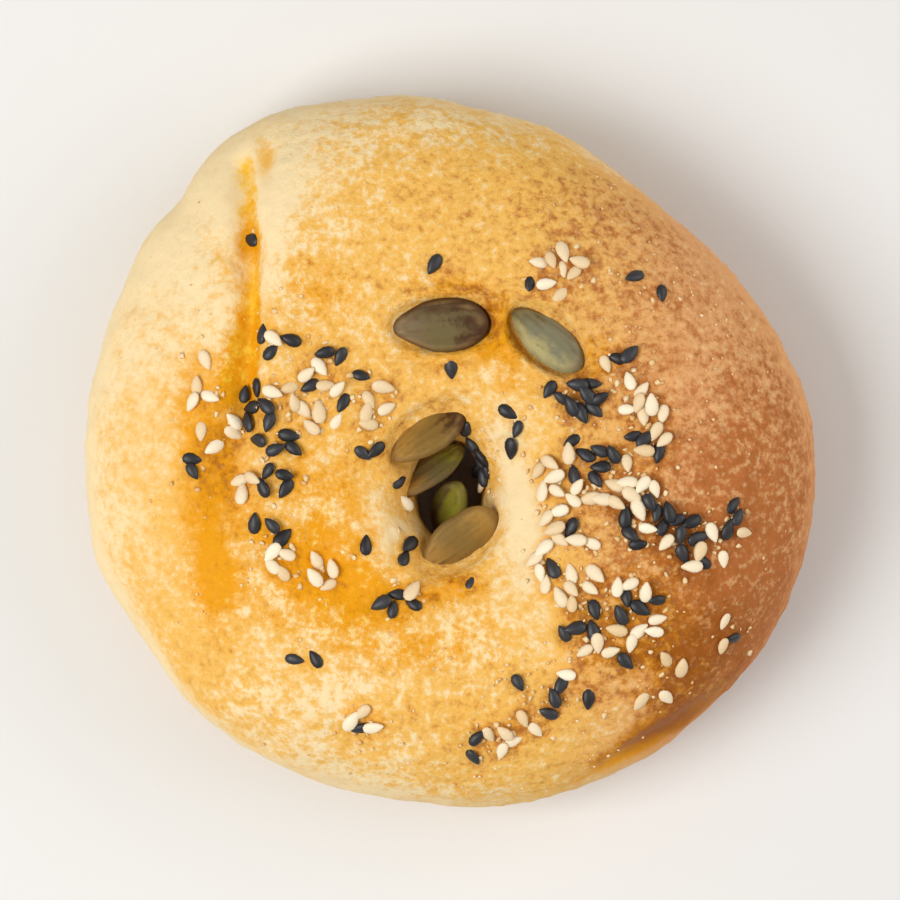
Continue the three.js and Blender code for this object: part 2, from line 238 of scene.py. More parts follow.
# Their colours at the tip, the middle, the blunt end and one flank, and the side of that flank
SKINS = (
    # Painted shadow: the first seed's dark flank lies along its upper edge, in the shade of its pocket
    Skin("taupe", "grey_olive", "dark_brown", "dark_brown", -1),
    # Painted light: the second seed's pale flank is its lit side
    Skin("grey_olive", "grey_green", "grey_green", "pale_green", 1),
    # Painted light: the third seed's golden flank is its lit side
    Skin("golden_tan", "tan_olive", "dark_brown", "golden_tan", -1),
    Skin("golden_tan", "grey_olive", "leaf_green", "tan_olive", -1),
    Skin("leaf_green", "leaf_green", "grey_olive", "grey_olive", 1),
    Skin("golden_tan", "tan_olive", "golden_tan", "tan_olive", 1),
)

# Almond shape of the seeds: how much slimmer the tip is than the blunt end, and how pointed, from where on
SESAME_TAPER = 0.22
SESAME_POINT = 0.35
KERNEL_TAPER = 0.16
KERNEL_POINT = 0.12
POINT_FROM = 0.2

# Places where the crust is browner or paler than its slow change from left to right
BAKE_PATCHES = (
    Patch(-43, 34, 8, 16, 20, -0.12),
    Patch(-32, 46, 12, 8, 35, -0.35),
    # Painted highlight: the lip right of the seam, which faces the light, is made paler
    Patch(-25.3, 40, 2.6, 9, -4, -0.35),
    Patch(-19, 29, 6, 8, 0, 0.12),
    # Painted shadow in the gap at the first pumpkin seed's blunt end, with a browned collar of dough
    Patch(6.1, 25.4, 1.7, 2.7, 0, 0.8),
    # Painted shade along the upper edge of the first pumpkin seed's pocket
    Patch(0, 29.2, 7, 1.6, -4, 0.3),
    Patch(34.5, 18, 4, 9, 20, -0.22),
    Patch(-40, -31, 7, 20, 35, 0.17),
    Patch(-10, -46, 32, 6, -8, -0.25),
    Patch(11, -3, 5.2, 17, 8, -0.62),
    Patch(7, 8, 5, 7, 0, -0.22),
    Patch(-9.5, -6, 5, 7, 0, -0.26),
    Patch(0.5, -14, 4, 2.2, 0, 0.3),
    Patch(3, -20, 9, 7, 0, -0.22),
    Patch(-13, -30, 9, 5, 0, -0.18),
    Patch(0, 54, 32, 7, -8, -0.25),
    Patch(40, 6, 9, 12, 0, 0.1),
    Patch(43, 28, 8, 15, 35, -0.3),
    Patch(17, 45, 14, 6, -20, 0.1),
    Patch(28, 8, 8, 8, 0, -0.2),
    Patch(46, -14, 9, 20, 12, 0.2),
    Patch(37, -22, 12, 9, 45, 0.15),
    Patch(-48, 4, 8, 22, 0, 0.16),
    Patch(-35, -4, 6, 20, 5, 0.3),
    Patch(-33, 5, 2.8, 7, 8, 0.3),
    Patch(0, 43, 14, 7, -8, 0.1),
    Patch(-41, -24, 7, 12, 35, 0.24),
)

# Places near the rim that are browner or paler whatever the rim's own tone is
RIM_PATCHES = (
    # The dark crescent under the crust's edge on the lower right: browned crust with the painted shadow of
    # the overhanging edge
    Patch(31.2, -35.7, 8.5, 2.1, 28, 0.9),
    Patch(43, -20, 9, 20, 22, 0.34),
    Patch(20, -37, 9, 5, 12, -0.18),
    Patch(23, -33.5, 6, 3, 22, -0.22),
    Patch(35, -27, 6, 4, 42, 0.22),
    Patch(-26.9, 48.7, 1.5, 3.3, 0, 0.6),
)

# Places where the crust is amber: browned crust, with painted shade in creases and painted shadow beside the
# pumpkin seeds
AMBER_PATCHES = (
    Patch(-31.2, 17, 2.4, 4.2, -8, 0.9),
    Patch(-34.6, 4.5, 3.2, 6.0, 8, 1.3),
    Patch(-35.0, -11, 3.0, 8.0, 10, 1.35),
    Patch(-26.5, -6.5, 4.5, 2.6, -30, 0.7),
    Patch(-39, 13, 4, 8, 0, 0.3),
    Patch(-19, 28, 8, 6, 20, 0.4),
    Patch(-21, 34, 5, 9, 0, 0.2),
    # Painted shadow in the gap at the first pumpkin seed's blunt end, with a browned collar of dough
    Patch(7.0, 25.0, 2.6, 3.4, 0, 1.4),
    # Painted shade along the upper edge of the first pumpkin seed's pocket
    Patch(0, 30, 7, 2.2, 0, 0.7),
    Patch(9, 19, 6, 5, 0, 0.5),
    Patch(-18, -1, 7, 10, 0, 0.6),
    Patch(-20, -14, 9, 4, -12, 0.65),
    Patch(-11, -12, 4, 6, 30, 0.6),
    Patch(-16, -20, 9, 5, -10, 0.5),
    Patch(-4, -23, 7, 3.4, 0, 0.5),
    # Painted shadow beside the second pumpkin seed, towards +X
    Patch(21.5, 20.5, 3.4, 3.2, 0, 0.85),
    Patch(0.5, -14.2, 4, 2.4, 0, 1.0),
    Patch(4, -21, 6, 5, 0, 0.35),
    Patch(26, 6, 9, 8, 0, 0.22),
    Patch(31, -24, 7, 7, 0, 0.4),
    Patch(2, -33, 12, 5, 0, 0.25),
    Patch(24, -20, 8, 7, 40, 0.4),
    # The dark crescent under the crust's edge on the lower right: browned crust with the painted shadow of
    # the overhanging edge
    Patch(31.0, -35.4, 8, 1.8, 28, 2.2),
    Patch(35, -27, 6, 4.5, 42, 0.75),
    Patch(42, -23, 9, 17, 25, 0.4),
    Patch(33, -14, 8, 10, 0, 0.3),
    Patch(-33.5, -3, 6, 20, 6, 0.3),
    Patch(-2, 20.5, 8, 2.4, 0, 0.5),
)

# Places with a smooth skin, where the grain of the crust is faint
SMOOTH_PATCHES = (
    Patch(-46, 10, 13, 48, 0, 0.65),
    Patch(-30, 48, 14, 9, 25, 0.6),
    Patch(11, -3, 5, 17, 8, 0.9),
    Patch(-9, -5, 5, 7, 0, 0.7),
    Patch(-24, -44, 24, 6, -20, 0.3),
    Patch(31, -35.5, 9, 2.4, 28, 0.9),
)


def bell(distance, spread):
    """1 at the middle, falling off smoothly over the spread."""
    return np.exp(-((distance / spread) ** 2))


def lerp(a, b, share):
    return a + (b - a) * share


def smooth(value, low, high):
    """0 below low, 1 above high, with a smooth rise between them."""
    share = np.clip((value - low) / (high - low), 0, 1)
    return share * share * (3 - 2 * share)


def degrees_between(angle, degrees):
    return (np.degrees(angle) - degrees + 180) % 360 - 180


def draws_from(seed):
    """Repeatable draws between 0 and 1."""
    modulus, multiplier = 2147483647, 16807
    state = seed
    while True:
        state = (state * multiplier) % modulus
        yield state / modulus


def turned(x, y, degrees):
    """A place as seen along and aside of a direction."""
    turn = math.radians(degrees)
    return x * math.cos(turn) + y * math.sin(turn), y * math.cos(turn) - x * math.sin(turn)


def patches_at(patches, x, y):
    """Sum of soft oval patches at places in plan."""
    total = 0.0
    for patch in patches:
        along, aside = turned(x - patch.x, y - patch.y, patch.turn)
        total = total + patch.amount * bell(np.hypot(along / patch.wide, aside / patch.long), 1)
    return total


def noise_at(points, size, shift=0.0):
    """Smooth noise between -1 and 1 at points, with waves about size long."""
    return np.array([noise.noise(place) for place in (points / size + shift).tolist()])


class Dough:
    """The form of the dough ring, in millimetres, with plan places measured from the hole's middle."""

    def __init__(self, sizes):
        self.rim = sizes.rim_radius / MM
        self.offset = sizes.hole_offset / MM
        self.crown = sizes.crown_height / MM
        self.throat_waist = sizes.throat_waist / MM
        self.rim_waist = sizes.rim_waist / MM
        self.half_width = sizes.throat_half_width / MM
        self.half_length = sizes.throat_half_length / MM

    def rim_radius(self, angle):
        bulges = sum(b.push * bell(degrees_between(angle, b.at), b.wide) for b in RIM_SHAPE)
        return self.rim + self.offset * np.sin(angle) + bulges

    def throat_radius(self, angle):
        return 1 / np.hypot(np.cos(angle) / self.half_width, np.sin(angle) / self.half_length)

    def crown_height(self, angle):
        return self.crown + sum(w.rise * np.cos(w.waves * (angle - math.radians(w.at))) for w in CROWN_WAVES)

    @staticmethod
    def beside_seam(x, y):
        return x - (SEAM_LINE - SEAM_BOW * (y - SEAM_MIDDLE) ** 2)

    @staticmethod
    def seam_strength(y):
        return smooth(y, SEAM_END, SEAM_FULL) * (1 - smooth(y, SEAM_RIM - SEAM_RIM_FADE, SEAM_RIM))

    def seam_relief(self, x, y):
        aside = self.beside_seam(x, y)
        opened = 1 - smooth(y, SEAM_END, SEAM_OPENS)
        on_flap = lerp(SEAM_FLAP, VALLEY_FLAP, opened)
        on_lip = lerp(SEAM_LIP, VALLEY_LIP, opened)
        groove = lerp(SEAM_DEPTH, VALLEY_DEPTH, opened) * bell(aside, np.where(aside < 0, on_flap, on_lip))
        lip = LIP_RISE * (1 - opened) * bell(aside - LIP_ASIDE, LIP_SPREAD)
        return self.seam_strength(y) * (lip - groove)

    @staticmethod
    def inner_crease(x, y):
        around = bell(degrees_between(np.arctan2(y, x), INNER_CREASE.at), INNER_CREASE.wide)
        return around * bell(np.hypot(x, y) - INNER_CREASE_RADIUS, INNER_CREASE_SPREAD)

    def relief(self, x, y):
        """Height that the seam, the crease and the swells add to the top."""
        rise = self.seam_relief(x, y) + INNER_CREASE.push * self.inner_crease(x, y)
        for swell in SWELLS:
            reach = np.hypot((x - swell.x) / swell.wide, (y - swell.y) / swell.long)
            rise = rise + swell.rise * bell(reach, 1)
        return rise

    @staticmethod
    def fullness(across):
        """How full the section is, from -1 at the throat to 1 at the rim."""
        squareness = np.where(across < 0, INNER_SQUARENESS, OUTER_SQUARENESS)
        return (1 - np.minimum(1, np.abs(across)) ** squareness) ** (1 / squareness)

    def top_height(self, x, y):
        angle = np.arctan2(y, x)
        throat = self.throat_radius(angle)
        share = np.clip((np.hypot(x, y) - throat) / (self.rim_radius(angle) - throat), 0, 1)
        full = self.fullness(2 * share - 1)
        waist = lerp(self.throat_waist, self.rim_waist, share)
        height = lerp(waist, self.crown_height(angle), full)
        return height + self.relief(x, y) * smooth(full, RELIEF_FROM, RELIEF_FULL)

    def top_normal(self, x, y, step=0.65):
        slope_x = (self.top_height(x + step, y) - self.top_height(x - step, y)) / (2 * step)
        slope_y = (self.top_height(x, y + step) - self.top_height(x, y - step)) / (2 * step)
        return Vector((-slope_x, -slope_y, 1)).normalized()

    @staticmethod
    def edge_crease(angle, across, height):
        around = bell(degrees_between(angle, EDGE_CREASE.at), EDGE_CREASE.wide) * np.maximum(0, across)
        return around * bell(height - EDGE_CREASE_HEIGHT, EDGE_CREASE_SPREAD)

    def points(self, angle, across, on_top):
        """Points of the crust, on top or underneath."""
        share = (1 + across) / 2
        radius = lerp(self.throat_radius(angle), self.rim_radius(angle), share)
        waist = lerp(self.throat_waist, self.rim_waist, share)
        under = waist * (1 - np.minimum(1, BASE_CUT * self.fullness(across)))
        over = self.top_height(radius * np.cos(angle), radius * np.sin(angle))
        height = np.where(on_top, over, under)
        radius = radius + np.where(on_top, EDGE_CREASE.push * self.edge_crease(angle, across, height), 0)
        return np.column_stack((radius * np.cos(angle), radius * np.sin(angle), height))


def kernel_reach(kernel, x, y, length, width):
    """How far places lie from a pumpkin seed's middle in plan, as a share of the seed's outline."""
    along, aside = turned(x - kernel.x, y - kernel.y, kernel.heading)
    return np.hypot(along / (length / 2), aside / (width / 2))


def sesame_seeds(dough, sesame, pumpkin):
    """Every sesame seed of the drifts."""
    draws = draws_from(DRAW_SEED)
    margin = sesame.length / MM + 2 * POCKET_GAP
    seeds = []

    def covers(kernel, x, y):
        length = kernel.size * pumpkin.length / MM * math.cos(math.radians(kernel.dip))
        width = kernel.size * pumpkin.width / MM
        return kernel_reach(kernel, x, y, length + margin, width + margin) <= 1

    def is_free(x, y):
        if math.hypot(x, y) <= dough.throat_radius(math.atan2(y, x)) + THROAT_MARGIN:
            return False
        if any(covers(kernel, x, y) for kernel in KERNELS):
            return False
        return all(math.hypot(s.x - x, s.y - y) > SESAME_SPACING for s in seeds)

    for drift in DRIFTS:
        total = drift.black + drift.pale
        turn = math.radians(drift.turn)
        placed = tries = 0
        while placed < total and tries < TRIES_EACH * total:
            tries += 1
            reach = next(draws) ** SESAME_CROWDING
            way = 2 * math.pi * next(draws)
            heading = 2 * math.pi * next(draws)
            size = 1 + SESAME_SPREAD * (2 * next(draws) - 1)
            along = reach * drift.long * math.cos(way)
            aside = reach * drift.short * math.sin(way)
            x = drift.x + along * math.cos(turn) - aside * math.sin(turn)
            y = drift.y + along * math.sin(turn) + aside * math.cos(turn)
            if is_free(x, y):
                near = sum(math.hypot(s.x - x, s.y - y) < PILED_WITHIN for s in seeds)
                seeds.append(Seed(x, y, heading, size, placed < drift.black, near, 0))
                placed += 1
    return seeds + list(CAUGHT_SEEDS)


class Wire:
    """A shader socket on which Python's operators add Math nodes."""

    def __init__(self, tree, socket=None):
        self.tree = tree
        self.socket = socket

    def node(self, kind, settings=None, inputs=None, output=0):
        """Adds a node of a kind, sets its settings, then gives its sockets values or links."""
        made = self.tree.nodes.new(kind)
        for name, value in (settings or {}).items():
            setattr(made, name, value)
        for name, value in (inputs or {}).items():
            if isinstance(value, Wire):
                self.tree.links.new(value.socket, made.inputs[name])
            else:
                made.inputs[name].default_value = value
        return Wire(self.tree, made.outputs[output]) if made.outputs else None

    def math(self, operation, first, second):
        return self.node("ShaderNodeMath", {"operation": operation}, {0: first, 1: second})

    def __add__(self, other):
        return self.math("ADD", self, other)

    __radd__ = __add__

    def __sub__(self, other):
        return self.math("SUBTRACT", self, other)

    def __rsub__(self, other):
        return self.math("SUBTRACT", other, self)

    def __mul__(self, other):
        return self.math("MULTIPLY", self, other)

    __rmul__ = __mul__

    def between(self, low, high):
        """0 below low, 1 above high, with a smooth rise between them."""
        settings = {"interpolation_type": "SMOOTHSTEP"}
        return self.node("ShaderNodeMapRange", settings, {0: self, 1: low, 2: high, 3: 0.0, 4: 1.0})

    def mix(self, first, second):
        """Colour that goes from first to second as this value goes from 0 to 1."""
        inputs = {0: self, 6: first, 7: second}
        return self.node("ShaderNodeMix", {"data_type": "RGBA", "clamp_factor": True}, inputs, 2)

    def attribute(self, name):
        return self.node("ShaderNodeAttribute", {"attribute_name": name}, output="Fac")

    def place(self):
        return self.node("ShaderNodeTexCoord", output="Object")

    def noise(self, place, size, detail=2.0, roughness=0.5):
        """Cloudy noise whose blotches are about size metres across."""
        inputs = {"Vector": place, "Scale": 1 / size, "Detail": detail, "Roughness": roughness}
        return self.node("ShaderNodeTexNoise", None, inputs, "Fac")

    def cells(self, place, size):
        """Distance to the middle of the nearest cell, for cells about size metres across."""
        inputs = {"Vector": place, "Scale": 1 / size}
        return self.node("ShaderNodeTexVoronoi", None, inputs, "Distance")

    def bump(self, height, strength, distance):
        inputs = {"Height": height, "Strength": strength, "Distance": distance}
        return self.node("ShaderNodeBump", None, inputs, "Normal")


def new_finish(name):
    """An empty material, and a wire to add its nodes with."""
    material = bpy.data.materials.new(name)
    material.use_nodes = True
    material.node_tree.nodes.clear()
    return material, Wire(material.node_tree)


def close_finish(wire, inputs):
    """Adds the shader with its values and links, and the material's output."""
    shader = wire.node("ShaderNodeBsdfPrincipled", None, inputs)
    wire.node("ShaderNodeOutputMaterial", None, {"Surface": shader})


def opaque(colour):
    return (*colour, 1.0)


# Fields that each point of the crust carries: how baked, how amber and how grainy it is there, with painted
# shade and highlights laid into the baking and the amber
CRUST_FIELDS = ("bake", "amber", "grainy")

# Marks of the crust: size, detail and roughness of each, how it browns smooth crust and, on top of that,
# grainy crust, how it breaks up amber, and how it raises smooth crust and, on top of that, grainy crust
MARKS = {
    "cloud": Mark(9, 4, 0.6, 0.55, 0, 0.6, 0, 0),
    "mottle": Mark(2.6, 4, 0.65, 0.25, 0.85, 1.7, 0.5, 0),
    "grain": Mark(0.75, 4, 0.7, 0.12, 1.0, 1.0, -0.05, -0.35),
    # The crumb's relief also sets painted light: its rises are paler, as painted highlights, and its hollows
    # darker, as painted shade
    "crumb": Mark(1.35, 3, 0.6, 0, -1.2, 0, 0.15, 0.9),
}

# Dots on browned crust: their cells, how the grain shifts them, the distances from their middles at which
# they begin and are whole, and their relief. Then strength and depth of all the relief
DOT_CELL = 1.25
DOT_WANDER = 0.5
DOTS = (0.42, 0.12)
DOT_RELIEF = 0.35
CRUST_BUMP = (0.7, 0.5 * MM)

# Levels between which the crust goes from one colour to the next, and places where gold goes over to tan
CREAM_TO_GOLD = (0.0, 0.5)
GOLD_TO_TAN = (12 * MM, 38 * MM)
GOLD_TO_BROWN = (0.45, 1.25)
YELLOW_TO_AMBER = (0.0, 0.36)
AMBER_TO_DEEP = (0.45, 1.45)
AMBER_BREAKS = (0.02, 0.5)
AMBER_SHOWS = (0.05, 1.1)
BROWNED = (0.5, 0.85)

# How strongly the painted shade of the pits and the specks show, with the painted highlights on the crumb's
# rises, and how rough the crust is, with its gloss where it is amber
PIT_SHADE = (0.0, 0.2)
PIT_SHADE_PLAIN = 0.06
PIT_SHADE_BROWNED = 0.7
CRUMB_HIGHLIGHTS = (0.03, 0.16)
CRUMB_HIGHLIGHT_SHARE = 0.55
DOT_SHARE = 0.4
SPECKS_MOST = 0.8
SPECKS_LESS_AMBER = 0.5
CRUST_ROUGHNESS = 0.74
AMBER_GLOSS = 0.2


def crust_finish(look):
    """Baked crust: cream to gold to brown by how far it is baked, amber in creases and round seeds, where it
    is partly painted shade, grainy in places.
    """
    material, wire = new_finish("baked_crust")
    place = wire.place()
    bake, amber, grainy = [wire.attribute(field) for field in CRUST_FIELDS]
    marks = {
        name: wire.noise(place, mark.size * MM, mark.detail, mark.roughness) - 0.5
        for name, mark in MARKS.items()
    }

    def marked(weight):
        """Sum of the marks, each with the weight that is worked out for it."""
        return sum(marks[name] * weight(mark) for name, mark in MARKS.items())

    level = bake + marked(lambda mark: grainy * mark.grainy_tone + mark.tone)
    browned = bake.between(*BROWNED) * grainy
    dots = (wire.cells(place, DOT_CELL * MM) + marks["grain"] * DOT_WANDER).between(*DOTS)
    to_right = wire.node("ShaderNodeSeparateXYZ", None, {"Vector": place}, "X").between(*GOLD_TO_TAN)
    gold = to_right.mix(opaque(look.gold), opaque(look.tan))
    colour = level.between(*CREAM_TO_GOLD).mix(opaque(look.cream), gold)
    colour = level.between(*GOLD_TO_BROWN).mix(colour, opaque(look.brown))
    deep = level.between(*YELLOW_TO_AMBER).mix(opaque(look.yellow), opaque(look.amber))
    deep = level.between(*AMBER_TO_DEEP).mix(deep, opaque(look.deep_amber))
    broken = marked(lambda mark: mark.amber) * amber.between(*AMBER_BREAKS)
    ambered = (amber + broken).between(*AMBER_SHOWS)
    # Amber colour: browned crust, and painted shade in creases and round seeds
    colour = ambered.mix(colour, deep)
    # Painted shade in the crumb's hollows, strongest on browned crust
    pit_shade = (0 - marks["crumb"]).between(*PIT_SHADE) * (browned * PIT_SHADE_BROWNED + PIT_SHADE_PLAIN)
    colour = pit_shade.mix(colour, opaque(look.pit))
    # Pale specks: real dots of grain, and painted highlights on the crumb's rises
    specks_and_highlights = dots * DOT_SHARE + marks["crumb"].between(*CRUMB_HIGHLIGHTS) * CRUMB_HIGHLIGHT_SHARE
    specks_and_highlights = specks_and_highlights * browned * (SPECKS_MOST - SPECKS_LESS_AMBER * ambered)
    colour = specks_and_highlights.mix(colour, opaque(look.speck))
    relief = dots * browned * DOT_RELIEF + marked(lambda mark: grainy * mark.grainy_relief + mark.relief)
    inputs = {
        "Base Color": colour,
        "Roughness": CRUST_ROUGHNESS - AMBER_GLOSS * ambered,
        "Normal": wire.bump(relief, *CRUST_BUMP),
        "Subsurface Weight": 0.06,
        "Subsurface Radius": (1.0, 0.45, 0.2),
        "Subsurface Scale": 1.2 * MM,
        "Specular IOR Level": 0.12,
    }
    close_finish(wire, inputs)
    return material


# Fine speckle of sesame and grains: its size, its share in the tone, roughness, how uneven that is,
# and its relief
BLACK_SPECKLE = Speckle(0.6, 0.25, 0.38, 0.15, 0.1)
PALE_SPECKLE = Speckle(0.6, 0.25, 0.5, 0.15, 0.1)
GRAIN_SPECKLE = Speckle(0.4, 0.2, 0.75, 0.1, 0)
SPECKLE_BUMP = 0.3


def speckled_finish(name, dark, light, speckle):
    """A skin between two colours, with a tone of its own for each seed or grain."""
    material, wire = new_finish(name)
    fleck = wire.noise(wire.place(), speckle.size * MM)
    tone = wire.attribute("tone") * (1 - speckle.share) + fleck * speckle.share
    inputs = {
        "Base Color": tone.mix(opaque(dark), opaque(light)),
        "Roughness": speckle.roughness + speckle.uneven * fleck,
    }
    if speckle.relief:
        inputs["Normal"] = wire.bump(fleck, SPECKLE_BUMP, speckle.relief * MM)
    close_finish(wire, inputs)
    return material


# Fields that each point of a pumpkin seed carries
KERNEL_FIELDS = ("along", "aside", "rim", "ridge", "streak")

# Skin of the pumpkin seeds: size, detail and roughness of its clouds and flecks
SKIN_CLOUD = (3 * MM, 3, 0.6)
SKIN_FLECK = (0.7 * MM, 3, 0.65)

# Borders of its colours: where each begins and is whole, how strong it is, and what shifts it
TIP = Border(0.0, 0.9, 1, 1.2, 0.5, 0.6)
BLUNT = Border(0.1, 0.75, 1, 1.2, 0.5, 0.6)
FLANK = Border(0.0, 0.8, 0.88, 1.2, 0.5, 0.6)
STREAKS = Border(0.0, 0.5, 0.6, 0.7, 0.6, 1)
EDGE = Border(0.6, 1.05, 0.42, 0.7, 0, 0)
RIDGE = Border(-0.2, 0.25, 0.35, 0, 0.5, 1)

# How rough the skin is, and how streaks and flecks change that and raise it
SKIN_ROUGHNESS = 0.545
STREAK_ROUGHNESS = 0.25
STREAK_RELIEF = 0.6
FLECK_RELIEF = 0.5
SKIN_BUMP = (0.6, 0.25 * MM)


def kernel_finish(name, tip, middle, blunt, flank, edge, ridge):
    """Pumpkin seed skin: colours from blunt end to tip and on one flank, which is painted light on two seeds
    and painted shadow on one, mottled, with a pale ridge.
    """
    material, wire = new_finish(name)
    place = wire.place()
    along, aside, rim, ridged, streaked = [wire.attribute(field) for field in KERNEL_FIELDS]
    streak = streaked - 0.5
    cloud = wire.noise(place, *SKIN_CLOUD) - 0.5
    fleck = wire.noise(place, *SKIN_FLECK) - 0.5

    def shown(value, border):
        """How far a colour shows where a value rises over its border."""
        shifted = value + cloud * border.cloud + fleck * border.fleck + streak * border.streak
        return shifted.between(border.low, border.high) * border.share

    colour = shown(along, TIP).mix(opaque(middle), opaque(tip))
    colour = shown(0 - along, BLUNT).mix(colour, opaque(blunt))
    # The flank: the seed's own colour on some seeds, painted light on the lit sides of two, and painted
    # shadow on the first
    colour = shown(aside, FLANK).mix(colour, opaque(flank))
    colour = shown(0, STREAKS).mix(colour, opaque(edge))
    colour = shown(rim, EDGE).mix(colour, opaque(edge))
    colour = (ridged * shown(0, RIDGE)).mix(colour, opaque(ridge))
    inputs = {
        "Base Color": colour,
        "Roughness": SKIN_ROUGHNESS + STREAK_ROUGHNESS * streak,
        "Normal": wire.bump(streak * STREAK_RELIEF + fleck * FLECK_RELIEF, *SKIN_BUMP),
        "Specular IOR Level": 0.2,
    }
    close_finish(wire, inputs)
    return material


# The floor: size of its clouds in metres, shade of the darker ones, and how rough and uneven it is
FLOOR_CLOUD = 0.4
FLOOR_SHADE = 0.97
FLOOR_ROUGHNESS = 0.7
FLOOR_UNEVEN = 0.05


def floor_finish(colour):
    """A plain floor, with clouds that hardly show."""
    material, wire = new_finish("pale_floor")
    cloud = wire.noise(wire.place(), FLOOR_CLOUD)
    shade = tuple(FLOOR_SHADE * part for part in colour)
    mixed = cloud.mix(opaque(shade), opaque(colour))
    close_finish(wire, {"Base Color": mixed, "Roughness": FLOOR_ROUGHNESS + FLOOR_UNEVEN * cloud})
    return material


def place_piece(name, bm, material):
    """Makes a smooth-shaded object of a bmesh that is in millimetres from the hole, and lets it ride."""
    bmesh.ops.scale(bm, vec=(MM, MM, MM), verts=bm.verts)
    bmesh.ops.translate(bm, vec=HOLE, verts=bm.verts)
    mesh = bpy.data.meshes.new(name)
    bm.to_mesh(mesh)
    bm.free()
    mesh.materials.append(material)
    mesh.shade_smooth()
    piece = bpy.data.objects.new(name, mesh)
    bpy.context.scene.collection.objects.link(piece)
    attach(piece, BODY)
    return piece


def length_property(name, description, millimetres):
    return FloatProperty(name=name, description=description, default=millimetres * MM, unit="LENGTH")


def colour_property(name, description, *parts):
    return FloatVectorProperty(name=name, description=description, default=parts, subtype="COLOR")


def power_property(name, description, watts):
    return FloatProperty(name=name, description=description, default=watts, unit="POWER")


class CrustSettings(PropertyGroup):
    """Sizes and colours of the dough ring."""

    rim_radius: length_property("Rim radius", "Mean radius of the outline", 54.4)
    hole_offset: length_property("Hole offset", "How far the hole lies off the middle", 6.5)
    crown_height: length_property("Crown height", "Mean height of the top", 34)
    rim_waist: length_property("Rim waist", "Height at which the outside is widest", 12.5)
    throat_waist: length_property("Throat waist", "Height at which the hole is narrowest", 15)
    throat_half_width: length_property("Throat half-width", "Half the hole's short way", 5)
    throat_half_length: length_property("Throat half-length", "Half the hole's long way", 7.5)
    around_steps: IntProperty(name="Steps around", description="Faces round the ring", default=460)
    section_steps: IntProperty(name="Section steps", description="Faces round the section", default=200)
    cream: colour_property("Cream", "Barely baked crust", 0.88, 0.69, 0.39)
    gold: colour_property("Gold", "Golden crust", 0.84, 0.472, 0.10)
    tan: colour_property("Tan", "Golden crust of the browner side", 0.74, 0.365, 0.145)
    brown: colour_property("Brown", "Browned crust", 0.46, 0.147, 0.037)
    yellow: colour_property("Yellow", "Glossy crust in shallow creases", 0.88, 0.53, 0.035)
    # Also the colour of the painted shade in creases and round seeds
    amber: colour_property("Amber", "Glossy crust in creases", 0.79, 0.325, 0.002)
    deep_amber: colour_property("Deep amber", "Amber of well baked crust", 0.32, 0.088, 0.004)
    # Colour of the pale grain and of the painted highlights on the crumb's rises
    speck: colour_property("Speck", "Pale grain of the browned crust", 0.78, 0.47, 0.215)
    # Colour of the painted shade in the crust's hollows
    pit: colour_property("Pit", "Darker pits of the crust", 0.40, 0.13, 0.028)


class SesameSettings(PropertyGroup):
    """Sizes and colours of the sesame."""

    length: length_property("Length", "Mean length of a seed", 3.2)
    width: length_property("Width", "Mean width of a seed", 1.85)
    thickness: length_property("Thickness", "Mean thickness of a seed", 0.95)
    black_dark: colour_property("Black", "Darkest black seeds", 0.006, 0.006, 0.008)
    black_light: colour_property("Black, worn", "Palest black seeds", 0.032, 0.030, 0.034)
    pale_dark: colour_property("Pale, toasted", "Most toasted pale seeds", 0.74, 0.50, 0.23)
    pale_light: colour_property("Pale", "Palest seeds", 0.97, 0.88, 0.68)


class PumpkinSettings(PropertyGroup):
    """Sizes and colours of the pumpkin seeds."""

    length: length_property("Length", "Mean length of a seed", 14.2)
    width: length_property("Width", "Mean width of a seed", 7.8)
    thickness: length_property("Thickness", "Mean thickness of a seed", 2.5)
    grey_olive: colour_property("Grey olive", "Dull olive skin", 0.145, 0.105, 0.036)
    grey_green: colour_property("Grey green", "Grey-green skin", 0.215, 0.20, 0.12)
    tan_olive: colour_property("Tan olive", "Browned olive skin", 0.215, 0.125, 0.026)
    golden_tan: colour_property("Golden tan", "Golden skin", 0.36, 0.19, 0.035)
    leaf_green: colour_property("Leaf green", "Fresh green skin", 0.22, 0.20, 0.02)
    dark_brown: colour_property("Dark brown", "Burnt end", 0.060, 0.022, 0.006)
    taupe: colour_property("Taupe", "Grey-brown skin", 0.19, 0.125, 0.065)
    # Only the lit flank of the second seed: a painted highlight
    pale_green: colour_property("Pale green", "Pale yellow-green skin", 0.48, 0.405, 0.17)
    edge: colour_property("Edge", "Edge and streaks", 0.075, 0.036, 0.010)
    ridge: colour_property("Ridge", "Worn ridge round the edge", 0.42, 0.27, 0.10)


class FlourSettings(PropertyGroup):
    """Number, size and colours of the semolina grains."""

    count: IntProperty(name="Grains", description="How many grains lie on the crust", default=450)
    size: length_property("Size", "Mean size of a grain", 0.45)
    crumbs: IntProperty(name="Crumbs", description="How many crumbs lie round a sesame seed", default=2)
    crumb_size: length_property("Crumb size", "Mean size of a crumb", 0.8)
    light: colour_property("Light", "Palest grains", 0.94, 0.76, 0.46)
    dark: colour_property("Dark", "Toasted grains", 0.76, 0.42, 0.12)


class StageSettings(PropertyGroup):
    """Floor, camera and light."""

    floor: colour_property("Floor", "Colour of the floor", 0.78, 0.77, 0.75)
    view_width: length_property("View width", "Width that the picture shows", 134)
    lens: FloatProperty(name="Lens", description="Focal length", default=250.0, unit="CAMERA")
    key: power_property("Key light", "Power of the key light", 5.9)
    fill: power_property("Fill light", "Power of the fill light", 3.4)
    sky: FloatProperty(name="Sky", description="Strength of the even light all round", default=0.44)


